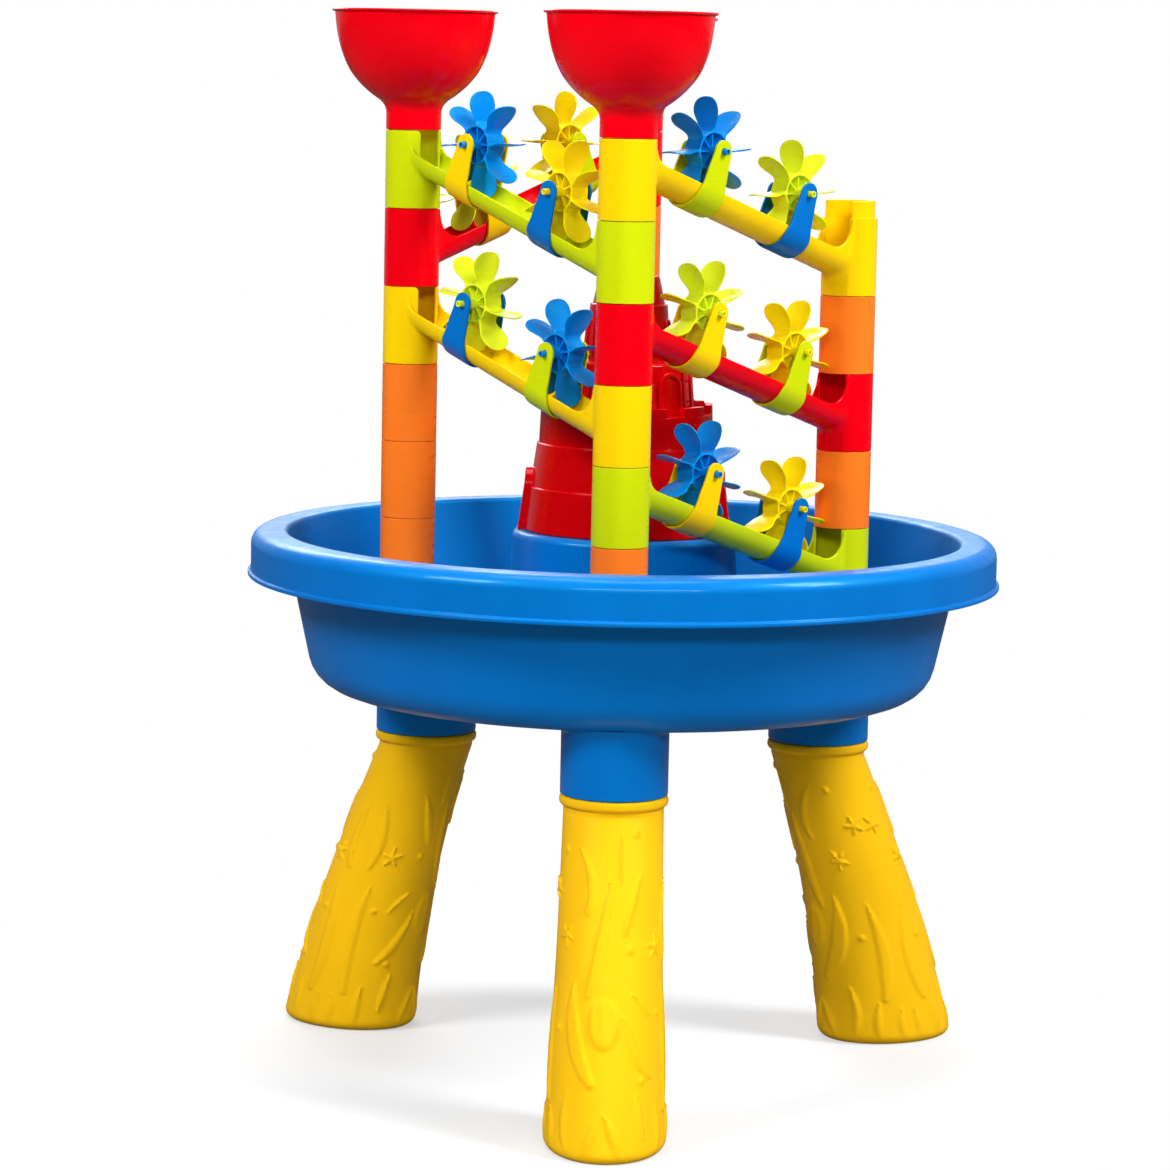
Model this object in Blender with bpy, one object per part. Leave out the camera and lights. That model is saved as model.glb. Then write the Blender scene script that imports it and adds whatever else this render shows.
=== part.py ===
"""Round sand and water table with four tube towers, sloped chutes, paddle wheels and a castle."""

import math

import bmesh
import bpy
from mathutils import Matrix, Vector

GAP = 0.0003
CUT_OVER = 0.005

# Tub: heights from the ground, radii from its own axis.
FLOOR_Z = 0.314
TUB_DEPTH = 0.1235
WALL = 0.003
BODY_R = 0.2545
BODY_LEAN = 0.0165
BEND_W = 0.0265
BEND_H = 0.031
RIM_W = 0.029
RIM_ROUND = 0.011
RIM_EDGE = 0.0035
FLANGE_DROP = 0.036
LIP_OUT = 0.0025
LIP_H = 0.0035
PLINTH_R = 0.090
PLINTH_DRAFT = 0.0045
PLINTH_RISE = 0.0025
PLINTH_ROUND = 0.006
PLINTH_FILLET = 0.0045
TUB_SIDES = 32

# Legs and the sockets under the tub.
LEG_ANGLES = {"front": -90.0, "right": 30.0, "left": 150.0}
SOCKET_INSET = 0.0655
SOCKET_R = 0.0415
SOCKET_WALL = 0.0027
SOCKET_H = 0.053
SOCKET_ROOF = 0.005
SPIGOT_FIT = 0.0005
SPIGOT_SHORT = 0.006
LEG_WALL = 0.0025
COLLAR_OUT = 0.0005
COLLAR_H = 0.0082
NECK_DROP = 0.0035
NECK_IN = 0.0033
FOOT_OUT = 0.0745
FOOT_HALF_T = 0.047
FOOT_HALF_R = 0.060
FOOT_ROUND = 0.009
LEG_SIDES = 16

# Towers of stacked tube segments on a square around the plinth.
TOWERS = {"left": 180.0, "front": -90.0, "right": 0.0, "back": 90.0}
TOWER_RADIUS = 0.175
TUBE_R = 0.022
TUBE_WALL = 0.002
PITCH = 0.062
LEVELS = 7
BOSS_OUT = 0.0025
BOSS_H = 0.009
SPIGOT_H = 0.012
SPIGOT_PLAY = 0.0004
SPIGOT_TAPER = 0.0006
SPIGOT_WALL = 0.0018
TUBE_SIDES = 16

# Chutes from one tower down to the next: upper tower, lower tower, level of the upper segment.
CHUTES = {
    "lime_high": ("left", "front", 1),
    "red_back": ("back", "left", 1),
    "yellow_left": ("left", "front", 3),
    "yellow_high": ("front", "right", 1),
    "red_right": ("front", "right", 3),
    "lime_low": ("front", "right", 5),
}
CHUTE_HALF_W = 0.017
CHUTE_WALL = 0.002
CHUTE_DEPTH = 0.0178
CHUTE_HIGH = 0.0238
CHUTE_LOW = 0.0163
CHUTE_ROOT = 0.006
HORN_UP_R = 0.009
HORN_LOW_R = 0.024
HORN_TOP_GAP = 0.0008
OUTLET_W = 0.019
OUTLET_SILL = 0.0045
OUTLET_EDGE = 0.0008
PARTITION = 0.0025
ARC_STEPS = 6

# Paddle wheels and the straps that hold them over a chute.
WHEEL_R = 0.042
WHEEL_CLEAR = 0.003
WHEEL_PLACE = {"upper": 0.55, "lower": 0.90}
PADDLES = 8
PADDLE_T = 0.0016
PADDLE_CLEAR = 0.0018
DRUM_R = 0.0155
DRUM_WALL = 0.0018
DRUM_HALF_W = 0.0085
PADDLE_ROOT = 0.006
WEB_T = 0.002
HUB_R = 0.0045
PIN_R = 0.0025
PIN_FIT = 0.0005
PIN_OUT = 0.0045
PIN_SIDES = 8
STRAP_T = 0.0022
STRAP_HALF_W = 0.014
ARM_HALF_W = 0.0088
AXIAL_PLAY = 0.0005

# Funnels on the three tall towers; the bowl's shape is given in shares of depth and of flare.
FUNNEL_TOWERS = ("left", "front", "back")
FUNNEL_R = 0.066
FUNNEL_H = 0.095
BOWL_H = 0.081
FUNNEL_WALL = 0.002
FUNNEL_LIP = 0.0015
NECK_PLAY = 0.0007
BOWL_SHAPE = ((0.17, 0.93), (0.365, 0.84), (0.565, 0.686), (0.712, 0.486), (0.86, 0.157), (0.945, 0.02))
FUNNEL_SIDES = 16

# Castle mould on the plinth, heights from its own foot. STEP_IN is how far the top of each band lies behind
# the straight line of the wall.
CASTLE_EDGE = 0.002
CASTLE_WALL = 0.0025
CASTLE_SIDES = 20
STEP_W = 0.0015
STEP_H = (0.035, 0.070)
STEP_IN = (0.00106042, 0.00252083)
TIER_ONE_R = 0.069
TIER_ONE_H = 0.096
PARAPET_H = 0.007
PARAPET_T = 0.006
MERLONS = 10
CRENEL_W = 0.016
TIER_TWO_R = 0.0525
TIER_TWO_TOP_R = 0.049
TIER_TWO_H = 0.137
TURRET_R = 0.035
TURRET_RING_R = 0.031
TURRET_RING_W = 0.002
TURRET_RING_H = 0.182
TURRET_TOP_R = 0.024
CASTLE_H = 0.205
DOORS = 4
DOOR_W = 0.030
DOOR_H = 0.0495
DOOR_OUT = 0.0047
DOOR_SINK = 0.005
ARCH_STEPS = 6

COLOURS = {
    "blue": (0.0, 0.13, 0.47, 1.0),
    "yellow": (0.95, 0.62, 0.0, 1.0),
    "gold": (0.90, 0.50, 0.01, 1.0),
    "lime": (0.55, 0.70, 0.01, 1.0),
    "red": (0.75, 0.0, 0.01, 1.0),
    "orange": (1.0, 0.20, 0.03, 1.0),
}
WHEEL_COLOURS = {
    ("lime_high", "upper"): ("blue", "yellow", 0.0),
    ("lime_high", "lower"): ("yellow", "blue", 0.5),
    ("red_back", "upper"): ("yellow", "lime", 0.0),
    ("red_back", "lower"): ("lime", "yellow", 0.5),
    ("yellow_left", "upper"): ("lime", "blue", 0.67),
    ("yellow_left", "lower"): ("blue", "lime", 0.2),
    ("yellow_high", "upper"): ("blue", "lime", 0.0),
    ("yellow_high", "lower"): ("lime", "blue", 0.0),
    ("red_right", "upper"): ("lime", "yellow", 0.5),
    ("red_right", "lower"): ("yellow", "lime", 0.5),
    ("lime_low", "upper"): ("blue", "yellow", 0.5),
    ("lime_low", "lower"): ("yellow", "blue", 0.5),
}

FLOOR_R = BODY_R - BEND_W
RIM_INNER_R = BODY_R + BODY_LEAN
RIM_R = RIM_INNER_R + RIM_W
RIM_TOP = FLOOR_Z + TUB_DEPTH
PLINTH_TOP = RIM_TOP + PLINTH_RISE
UNDER_Z = FLOOR_Z - WALL
SOCKET_BOTTOM = UNDER_Z - SOCKET_H
SOCKET_BORE_TOP = UNDER_Z - SOCKET_ROOF
SOCKET_RADIUS = BODY_R - SOCKET_INSET
FOOT_RADIUS = SOCKET_RADIUS + FOOT_OUT
# The front foot reaches past the rim, so the tub's axis stands a little behind the middle of the box.
AXIS_Y = (FOOT_RADIUS + FOOT_HALF_R - RIM_R - LIP_OUT) / 2

TOWER_TOP = FLOOR_Z + BOSS_H + LEVELS * PITCH
SPACING = TOWER_RADIUS * math.sqrt(2)
BORE_R = TUBE_R - TUBE_WALL
SPIGOT_R = BORE_R - SPIGOT_PLAY
SPIGOT_TIP_R = SPIGOT_R - SPIGOT_TAPER
SPIGOT_BORE_R = SPIGOT_TIP_R - SPIGOT_WALL

CHUTE_TOP_Z = CHUTE_HIGH - PITCH
CHUTE_END_Z = CHUTE_LOW - 2 * PITCH
SLOPE = (CHUTE_TOP_Z - CHUTE_END_Z) / (SPACING - 2 * TUBE_R)
TILT = math.atan(SLOPE)
AXLE_UP = WHEEL_R + WHEEL_CLEAR + CHUTE_WALL
PADDLE_HALF_W = CHUTE_HALF_W - CHUTE_WALL - PADDLE_CLEAR
STRAP_IN = CHUTE_HALF_W + GAP
STRAP_OUT = STRAP_IN + STRAP_T
# The length along a chute that its tubes and its two wheels leave free.
FREE_RUN = SPACING - 2 * TUBE_R - 4 * WHEEL_R

for old in list(bpy.data.objects):
    bpy.data.objects.remove(old, do_unlink=True)

assembly = bpy.data.collections.new("sand_table")
bpy.context.scene.collection.children.link(assembly)


def material(colour):
    """One plain plastic per colour, made when it is first asked for."""
    name = colour + "_plastic"
    if name in bpy.data.materials:
        return bpy.data.materials[name]
    made = bpy.data.materials.new(name)
    made.use_nodes = True
    shader = made.node_tree.nodes["Principled BSDF"]
    shader.inputs["Base Color"].default_value = COLOURS[colour]
    shader.inputs["Roughness"].default_value = 0.35
    return made


def mesh_of(name, bm):
    bmesh.ops.remove_doubles(bm, verts=bm.verts, dist=1e-6)
    bmesh.ops.recalc_face_normals(bm, faces=bm.faces)
    mesh = bpy.data.meshes.new(name)
    bm.to_mesh(mesh)
    bm.free()
    return mesh


def add(name, mesh, colour, matrix=None):
    """Links a node with its own material at a place given from the tub's axis."""
    obj = bpy.data.objects.new(name, mesh)
    assembly.objects.link(obj)
    mesh.materials.clear()
    mesh.materials.append(material(colour))
    obj.matrix_world = Matrix.Translation((0, AXIS_Y, 0)) @ (matrix or Matrix.Identity(4))
    return obj


def lathe(profile, sides, axis=(0.0, 0.0), phase=0.0):
    """A closed profile of (radius, height) turned about a vertical axis; radius 0 is one point."""
    bm = bmesh.new()
    rings = []
    for radius, height in profile:
        if radius == 0:
            rings.append([bm.verts.new((axis[0], axis[1], height))] * sides)
            continue
        ring = []
        for k in range(sides):
            turn = 2 * math.pi * k / sides + phase
            x = axis[0] + radius * math.cos(turn)
            y = axis[1] + radius * math.sin(turn)
            ring.append(bm.verts.new((x, y, height)))
        rings.append(ring)
    for first, second in zip(rings, rings[1:] + rings[:1]):
        for k in range(sides):
            corners = [first[k], first[(k + 1) % sides], second[(k + 1) % sides], second[k]]
            unique = list(dict.fromkeys(corners))
            if len(unique) > 2:
                bm.faces.new(unique)
    return bm


def loft(sections):
    """A closed body through outlines of equal length, capped at both ends."""
    bm = bmesh.new()
    rings = [[bm.verts.new(point) for point in section] for section in sections]
    count = len(rings[0])
    for first, second in zip(rings, rings[1:]):
        for k in range(count):
            bm.faces.new((first[k], first[(k + 1) % count], second[(k + 1) % count], second[k]))
    bm.faces.new(rings[0])
    bm.faces.new(rings[-1])
    return bm


def box(low, high):
    bm = bmesh.new()
    bmesh.ops.create_cube(bm, size=1.0)
    size = Vector(high) - Vector(low)
    middle = (Vector(high) + Vector(low)) / 2
    for vert in bm.verts:
        vert.co = Vector((vert.co.x * size.x, vert.co.y * size.y, vert.co.z * size.z)) + middle
    return bm


def gathered(bodies):
    """Several separate bodies as one bmesh."""
    whole = bmesh.new()
    for body in bodies:
        part = mesh_of("helper", body)
        whole.from_mesh(part)
        bpy.data.meshes.remove(part)
    return whole


def combined(base, *steps):
    """Applies Boolean steps (operation, bmesh) to a bmesh and returns the joined mesh."""
    helpers = []
    first = bpy.data.objects.new("helper", mesh_of("helper", base))
    bpy.context.scene.collection.objects.link(first)
    for operation, tool in steps:
        other = bpy.data.objects.new("helper", mesh_of("helper", tool))
        bpy.context.scene.collection.objects.link(other)
        helpers.append(other)
        step = first.modifiers.new(operation, "BOOLEAN")
        step.operation = operation
        step.solver = "EXACT"
        step.object = other
    bpy.context.view_layer.update()
    graph = bpy.context.evaluated_depsgraph_get()
    done = bpy.data.meshes.new_from_object(first.evaluated_get(graph))
    for helper in helpers + [first]:
        bpy.data.objects.remove(helper, do_unlink=True)
    bm = bmesh.new()
    bm.from_mesh(done)
    bpy.data.meshes.remove(done)
    bmesh.ops.triangulate(bm, faces=bm.faces)
    return bm


def polar(radius, degrees):
    turn = math.radians(degrees)
    return Vector((radius * math.cos(turn), radius * math.sin(turn), 0))


def level_z(level):
    """Height of a segment's lower end, level 1 being the topmost."""
    return TOWER_TOP - PITCH * level


def bend(start, end, steps):
    """A quarter turn of an ellipse in (radius, height), level at its start and upright at its end."""
    points = []
    for k in range(steps + 1):
        turn = math.pi / 2 * k / steps
        radius = start[0] + (end[0] - start[0]) * math.sin(turn)
        height = start[1] + (end[1] - start[1]) * (1 - math.cos(turn))
        points.append((radius, height))
    return points


def tub_mesh():
    """Round tub with a turned-down rim, a hollow plinth, leg sockets below and tower posts inside."""
    flange_z = RIM_TOP - FLANGE_DROP
    body_z = FLOOR_Z + BEND_H
    round_z = RIM_TOP - RIM_ROUND
    crown_z = PLINTH_TOP - PLINTH_ROUND
    crown_r = PLINTH_R - PLINTH_ROUND
    root_r = PLINTH_R + PLINTH_DRAFT
    profile = [(0, PLINTH_TOP)]
    profile += bend((crown_r, PLINTH_TOP), (PLINTH_R, crown_z), 2)
    profile.append((root_r, FLOOR_Z + PLINTH_FILLET))
    profile.append((root_r + PLINTH_FILLET, FLOOR_Z))
    profile += bend((FLOOR_R, FLOOR_Z), (BODY_R - WALL, body_z), 3)
    profile.append((RIM_INNER_R, RIM_TOP - RIM_EDGE))
    profile.append((RIM_INNER_R + RIM_EDGE, RIM_TOP))
    profile += bend((RIM_R - RIM_ROUND, RIM_TOP), (RIM_R, round_z), 2)
    profile.append((RIM_R, flange_z + LIP_H))
    profile.append((RIM_R + LIP_OUT, flange_z + LIP_H))
    profile.append((RIM_R + LIP_OUT, flange_z))
    profile.append((RIM_R - WALL, flange_z))
    profile += reversed(bend((RIM_R - RIM_ROUND, RIM_TOP - WALL), (RIM_R - WALL, round_z), 2))
    profile.append((RIM_INNER_R + RIM_EDGE + WALL / 2, RIM_TOP - WALL))
    profile.append((RIM_INNER_R + WALL, RIM_TOP - WALL - RIM_EDGE / 2))
    profile += reversed(bend((FLOOR_R, UNDER_Z), (BODY_R, body_z), 3))
    profile.append((root_r + PLINTH_FILLET - WALL, UNDER_Z))
    profile.append((root_r - WALL, UNDER_Z + PLINTH_FILLET))
    profile.append((PLINTH_R - WALL, crown_z))
    profile.append((crown_r, PLINTH_TOP - WALL))
    profile.append((0, PLINTH_TOP - WALL))
    solids = []
    bores = []
    for degrees in LEG_ANGLES.values():
        centre = polar(SOCKET_RADIUS, degrees)[:2]
        phase = math.radians(degrees)
        joined = FLOOR_Z - 0.6 * WALL
        bore = SOCKET_R - SOCKET_WALL
        low = SOCKET_BOTTOM - CUT_OVER
        socket = [(0, joined), (SOCKET_R, joined), (SOCKET_R, SOCKET_BOTTOM), (0, SOCKET_BOTTOM)]
        drilled = [(0, SOCKET_BORE_TOP), (bore, SOCKET_BORE_TOP), (bore, low), (0, low)]
        solids.append(lathe(socket, LEG_SIDES, centre, phase))
        bores.append(lathe(drilled, LEG_SIDES, centre, phase))
    seat = level_z(LEVELS) - GAP
    joined = FLOOR_Z - 0.3 * WALL
    boss_r = TUBE_R + BOSS_OUT
    post = [
        (0, seat + SPIGOT_H),
        (SPIGOT_TIP_R, seat + SPIGOT_H),
        (SPIGOT_R, seat),
        (boss_r, seat),
        (boss_r, joined),
        (0, joined),
    ]
    for degrees in TOWERS.values():
        solids.append(lathe(post, TUBE_SIDES, polar(TOWER_RADIUS, degrees)[:2]))
    steps = [("UNION", gathered(solids)), ("DIFFERENCE", gathered(bores))]
    return mesh_of("tub", combined(lathe(profile, TUB_SIDES), *steps))


def leg_outline(radius, half_t, half_r, height):
    points = []
    for k in range(LEG_SIDES):
        turn = 2 * math.pi * k / LEG_SIDES
        points.append((radius + half_r * math.cos(turn), half_t * math.sin(turn), height))
    return points


def leg_mesh():
    """A curved, splayed leg along local X, hollow and open at the top of its spigot."""
    top = SOCKET_BOTTOM - GAP
    neck = top - COLLAR_H - NECK_DROP
    spigot = SOCKET_R - SOCKET_WALL - SPIGOT_FIT
    collar = SOCKET_R + COLLAR_OUT
    neck_r = collar - NECK_IN
    hollow = spigot - LEG_WALL

    def station(share):
        """Centre radius and half sizes at a share of the way from the neck to the foot."""
        bow = 1.38 * share - 0.38 * share * share
        return (
            SOCKET_RADIUS + FOOT_OUT * bow,
            neck_r + (FOOT_HALF_T - neck_r) * (0.25 * share + 0.75 * share ** 2),
            neck_r + (FOOT_HALF_R - neck_r) * share ** 1.15,
        )

    sections = [leg_outline(SOCKET_RADIUS, spigot, spigot, SOCKET_BORE_TOP - SPIGOT_SHORT)]
    sections.append(leg_outline(SOCKET_RADIUS, spigot, spigot, top))
    sections.append(leg_outline(SOCKET_RADIUS, collar, collar, top))
    sections.append(leg_outline(SOCKET_RADIUS, collar, collar, top - COLLAR_H))
    for share in (0.0, 0.08, 0.22, 0.40, 0.60, 0.80):
        radius, half_t, half_r = station(share)
        sections.append(leg_outline(radius, half_t, half_r, neck * (1 - share)))
    radius, half_t, half_r = station(1.0)
    for inset, height in ((0.0, FOOT_ROUND), (0.3 * FOOT_ROUND, 0.3 * FOOT_ROUND), (FOOT_ROUND, 0.0)):
        sections.append(leg_outline(radius, half_t - inset, half_r - inset, height))
    inside = [leg_outline(SOCKET_RADIUS, hollow, hollow, SOCKET_BORE_TOP - SPIGOT_SHORT + CUT_OVER)]
    inside.append(leg_outline(SOCKET_RADIUS, hollow, hollow, top))
    for share in (0.0, 0.22, 0.60, 0.92):
        radius, half_t, half_r = station(share)
        inside.append(leg_outline(radius, half_t - LEG_WALL, half_r - LEG_WALL, neck * (1 - share)))
    return mesh_of("leg", combined(loft(sections), ("DIFFERENCE", loft(inside))))


def tube_mesh():
    """A plain tower segment from its lower end, with a drafted bore and a male top."""
    top = PITCH - GAP
    profile = [
        (TUBE_R, 0),
        (TUBE_R, top),
        (SPIGOT_R, top),
        (SPIGOT_TIP_R, top + SPIGOT_H),
        (SPIGOT_BORE_R, top + SPIGOT_H),
        (BORE_R, 0),
    ]
    return mesh_of("tube", lathe(profile, TUBE_SIDES))


def underside(x):
    return CHUTE_TOP_Z - SLOPE * (x - TUBE_R)


def horn_foot():
    """Distance from a tower's axis at which the channel's walls meet the tube."""
    return math.sqrt(TUBE_R ** 2 - (CHUTE_HALF_W - CHUTE_WALL / 2) ** 2)


def wall_top(x):
    """Upper edge of the channel's walls, swept up to the tubes at both ends."""
    rim = CHUTE_DEPTH / math.cos(TILT)
    foot, end = horn_foot(), SPACING - horn_foot()
    rise = -PITCH - HORN_TOP_GAP - underside(end) - rim
    edge = underside(x) + rim
    for near, run, high in ((x - foot, HORN_UP_R, HORN_UP_R), (end - x, HORN_LOW_R, rise)):
        along = 1 - max(near, 0.0) / run
        if along > 0:
            edge += high * (1 - math.sqrt(1 - along ** 2))
    return edge


def channel(xs, half_w, lift, top):
    """A U-shaped body along the chute through the given stations."""
    sections = []
    for x in xs:
        section = []
        for k in range(ARC_STEPS + 1):
            turn = math.pi * k / ARC_STEPS
            rise = half_w * (1 - math.sin(turn)) / math.cos(TILT)
            section.append((x, half_w * math.cos(turn), underside(x) + lift + rise))
        section.append((x, -half_w, top(x)))
        section.append((x, half_w, top(x)))
        sections.append(section)
    return loft(sections)


def chute_mesh():
    """Upper and lower segment joined by the channel; local origin at the top of the upper segment."""
    reach = horn_foot()
    sweep = (0.0, 0.06, 0.22, 0.5, 1.0)
    high = [reach + HORN_UP_R * part for part in sweep]
    low = [SPACING - reach - HORN_LOW_R * part for part in reversed(sweep)]
    stations = [reach - CHUTE_ROOT] + high + low + [SPACING - reach + CHUTE_ROOT]
    outer = channel(stations, CHUTE_HALF_W, 0.0, wall_top)
    inner_half = CHUTE_HALF_W - CHUTE_WALL
    floor = CHUTE_WALL / math.cos(TILT)
    inner = channel([BORE_R / 2, SPACING - BORE_R / 5], inner_half, floor, lambda x: SPIGOT_H + CUT_OVER)

    def segment(x, top):
        low = top - PITCH + GAP
        profile = [
            (0, top + SPIGOT_H),
            (SPIGOT_TIP_R, top + SPIGOT_H),
            (SPIGOT_R, top),
            (TUBE_R, top),
            (TUBE_R, low),
            (0, low),
        ]
        return lathe(profile, TUBE_SIDES, (x, 0.0))

    def bore(x, low, low_r, high, high_r):
        return lathe([(0, high), (high_r, high), (low_r, low), (0, low)], TUBE_SIDES, (x, 0.0))

    chamber_low = underside(TUBE_R) + floor + OUTLET_SILL
    draft = (BORE_R - SPIGOT_BORE_R) / (PITCH + SPIGOT_H)
    mouth_r = SPIGOT_BORE_R - draft * CUT_OVER
    foot_r = BORE_R + draft * CUT_OVER
    chamber_r = SPIGOT_BORE_R + draft * (SPIGOT_H - chamber_low)
    roof = chamber_low - PARTITION
    chamber = bore(0.0, chamber_low, chamber_r, SPIGOT_H + CUT_OVER, mouth_r)
    socket = bore(0.0, -PITCH - CUT_OVER, foot_r, roof, BORE_R - draft * (PITCH + roof))
    passage = bore(SPACING, -2 * PITCH - CUT_OVER, foot_r, -PITCH + SPIGOT_H + CUT_OVER, mouth_r)
    outlet = box(
        (BORE_R / 2, -OUTLET_W / 2, chamber_low + OUTLET_EDGE),
        (TUBE_R + 2 * OUTLET_EDGE, OUTLET_W / 2, -OUTLET_EDGE),
    )
    return mesh_of(
        "chute",
        combined(
            segment(SPACING, -PITCH),
            ("UNION", outer),
            ("DIFFERENCE", inner),
            ("UNION", segment(0.0, 0.0)),
            ("DIFFERENCE", chamber),
            ("DIFFERENCE", socket),
            ("DIFFERENCE", passage),
            ("DIFFERENCE", outlet),
        ),
    )


def chute_frame(name):
    """Places the chute's local frame at the top of its upper segment, X towards the lower tower."""
    upper, lower, level = CHUTES[name]
    start = polar(TOWER_RADIUS, TOWERS[upper])
    way = polar(TOWER_RADIUS, TOWERS[lower]) - start
    turn = Matrix.Rotation(math.atan2(way.y, way.x), 4, "Z")
    return Matrix.Translation(start + Vector((0, 0, level_z(level) + PITCH))) @ turn


def strap_frame(name, place):
    """A frame on the channel's underside, X down the slope and Z square to it."""
    wheels_before = 1 if place == "upper" else 3
    axle = TUBE_R + WHEEL_R * wheels_before + FREE_RUN * WHEEL_PLACE[place]
    x = axle - AXLE_UP * math.sin(TILT)
    return chute_frame(name) @ Matrix.Translation((x, 0, underside(x))) @ Matrix.Rotation(TILT, 4, "Y")


def strap_mesh():
    """A U-shaped strap round the channel with two tapered arms and a pin hole in each."""
    arm_top = AXLE_UP + ARM_HALF_W
    middle = CHUTE_HALF_W
    path = []
    for height, half_w in (
        (arm_top, 0.45 * ARM_HALF_W),
        (arm_top - 0.2 * ARM_HALF_W, 0.8 * ARM_HALF_W),
        (AXLE_UP, ARM_HALF_W),
        (CHUTE_DEPTH, 0.82 * STRAP_HALF_W),
        (middle, STRAP_HALF_W),
    ):
        path.append((math.pi / 2, height - middle, half_w))
    for k in range(1, ARC_STEPS):
        path.append((math.pi / 2 * (1 - 2 * k / ARC_STEPS), 0.0, STRAP_HALF_W))
    path += [(-math.pi / 2, rise, half_w) for turn, rise, half_w in reversed(path[:5])]
    sections = []
    for turn, rise, half_w in path:
        section = []
        corners = ((STRAP_IN, -half_w), (STRAP_OUT, -half_w), (STRAP_OUT, half_w), (STRAP_IN, half_w))
        for radius, x in corners:
            section.append((x, radius * math.sin(turn), middle - radius * math.cos(turn) + rise))
        sections.append(section)
    hole = lathe(
        [
            (0, 2 * STRAP_OUT),
            (PIN_R + PIN_FIT, 2 * STRAP_OUT),
            (PIN_R + PIN_FIT, -2 * STRAP_OUT),
            (0, -2 * STRAP_OUT),
        ],
        PIN_SIDES,
    )
    bmesh.ops.transform(hole, matrix=Matrix.Rotation(math.pi / 2, 4, "X"), verts=hole.verts)
    bmesh.ops.translate(hole, vec=(0, 0, AXLE_UP), verts=hole.verts)
    return mesh_of("strap", combined(loft(sections), ("DIFFERENCE", hole)))


def wheel_mesh():
    """Eight paddles on an open drum with a web, a hub and stub pins; the axle is local Y."""
    half_t = PADDLE_T / 2
    slot = math.asin(half_t / DRUM_R)
    outline = (
        (DRUM_R + PADDLE_ROOT, DRUM_HALF_W),
        (0.76 * WHEEL_R, PADDLE_HALF_W),
        (0.93 * WHEEL_R, 0.78 * PADDLE_HALF_W),
        (WHEEL_R, 0.28 * PADDLE_HALF_W),
    )
    bm = bmesh.new()

    def ring(radius, y, sides, phase=0.0):
        points = []
        for k in range(sides):
            turn = 2 * math.pi * (k + phase) / sides
            points.append(bm.verts.new((radius * math.cos(turn), y, radius * math.sin(turn))))
        return points

    def bridge(first, second):
        count = len(first)
        for k in range(count):
            bm.faces.new((first[k], first[(k + 1) % count], second[(k + 1) % count], second[k]))

    roots = {}
    for k in range(PADDLES):
        turn = 2 * math.pi * k / PADDLES
        way = Vector((math.cos(turn), 0, math.sin(turn)))
        across = Vector((-math.sin(turn), 0, math.cos(turn)))
        rows = []
        for radius, half_w in ((DRUM_R * math.cos(slot), DRUM_HALF_W),) + outline:
            row = []
            for side, y in ((-1, -half_w), (1, -half_w), (1, half_w), (-1, half_w)):
                row.append(bm.verts.new(way * radius + across * side * half_t + Vector((0, y, 0))))
            rows.append(row)
        for first, second in zip(rows, rows[1:]):
            bridge(first, second)
        bm.faces.new(rows[-1])
        roots[k] = rows[0]
    for k in range(PADDLES):
        after = roots[(k + 1) % PADDLES]
        bm.faces.new((roots[k][1], after[0], after[3], roots[k][2]))
    drum_in = DRUM_R - DRUM_WALL
    pin_end = STRAP_OUT + PIN_OUT
    hub_end = STRAP_IN - AXIAL_PLAY
    for side, low, high in ((-1, 0, 1), (1, 3, 2)):
        inner = ring(drum_in, side * DRUM_HALF_W, PADDLES)
        for k in range(PADDLES):
            after = (k + 1) % PADDLES
            bm.faces.new((roots[k][low], roots[k][high], inner[k]))
            bm.faces.new((roots[k][high], roots[after][low], inner[after], inner[k]))
        stations = [
            (drum_in, WEB_T / 2),
            (HUB_R, WEB_T / 2),
            (HUB_R, hub_end),
            (PIN_R, hub_end),
            (PIN_R, pin_end),
        ]
        last = inner
        for radius, y in stations:
            now = ring(radius, side * y, PADDLES)
            bridge(last, now)
            last = now
        bm.faces.new(last)
    bmesh.ops.triangulate(bm, faces=[face for face in bm.faces if len(face.verts) == 4])
    return mesh_of("wheel", bm)


def funnel_mesh():
    """Bowl and neck from the neck's lower end; the neck goes over a tube's male top."""
    high = FUNNEL_H - GAP
    flare = FUNNEL_R - TUBE_R
    neck_in = SPIGOT_R + NECK_PLAY
    outer = [(FUNNEL_R - FUNNEL_LIP, high), (FUNNEL_R, high - FUNNEL_LIP)]
    inner = [(FUNNEL_R - FUNNEL_LIP - FUNNEL_WALL, high)]
    for depth, share in BOWL_SHAPE:
        outer.append((TUBE_R + flare * share, high - BOWL_H * depth))
    outer.append((TUBE_R, high - BOWL_H))
    for before, point, after in zip(outer[1:], outer[2:], outer[3:]):
        along = Vector((after[0] - before[0], after[1] - before[1])).normalized()
        inner.append((point[0] + FUNNEL_WALL * along.y, point[1] - FUNNEL_WALL * along.x))
    inner[-1] = (neck_in, inner[-1][1])
    outer.append((TUBE_R, 0))
    inner.append((neck_in, 0))
    return mesh_of("funnel", lathe(outer + inner[::-1], FUNNEL_SIDES))


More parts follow.
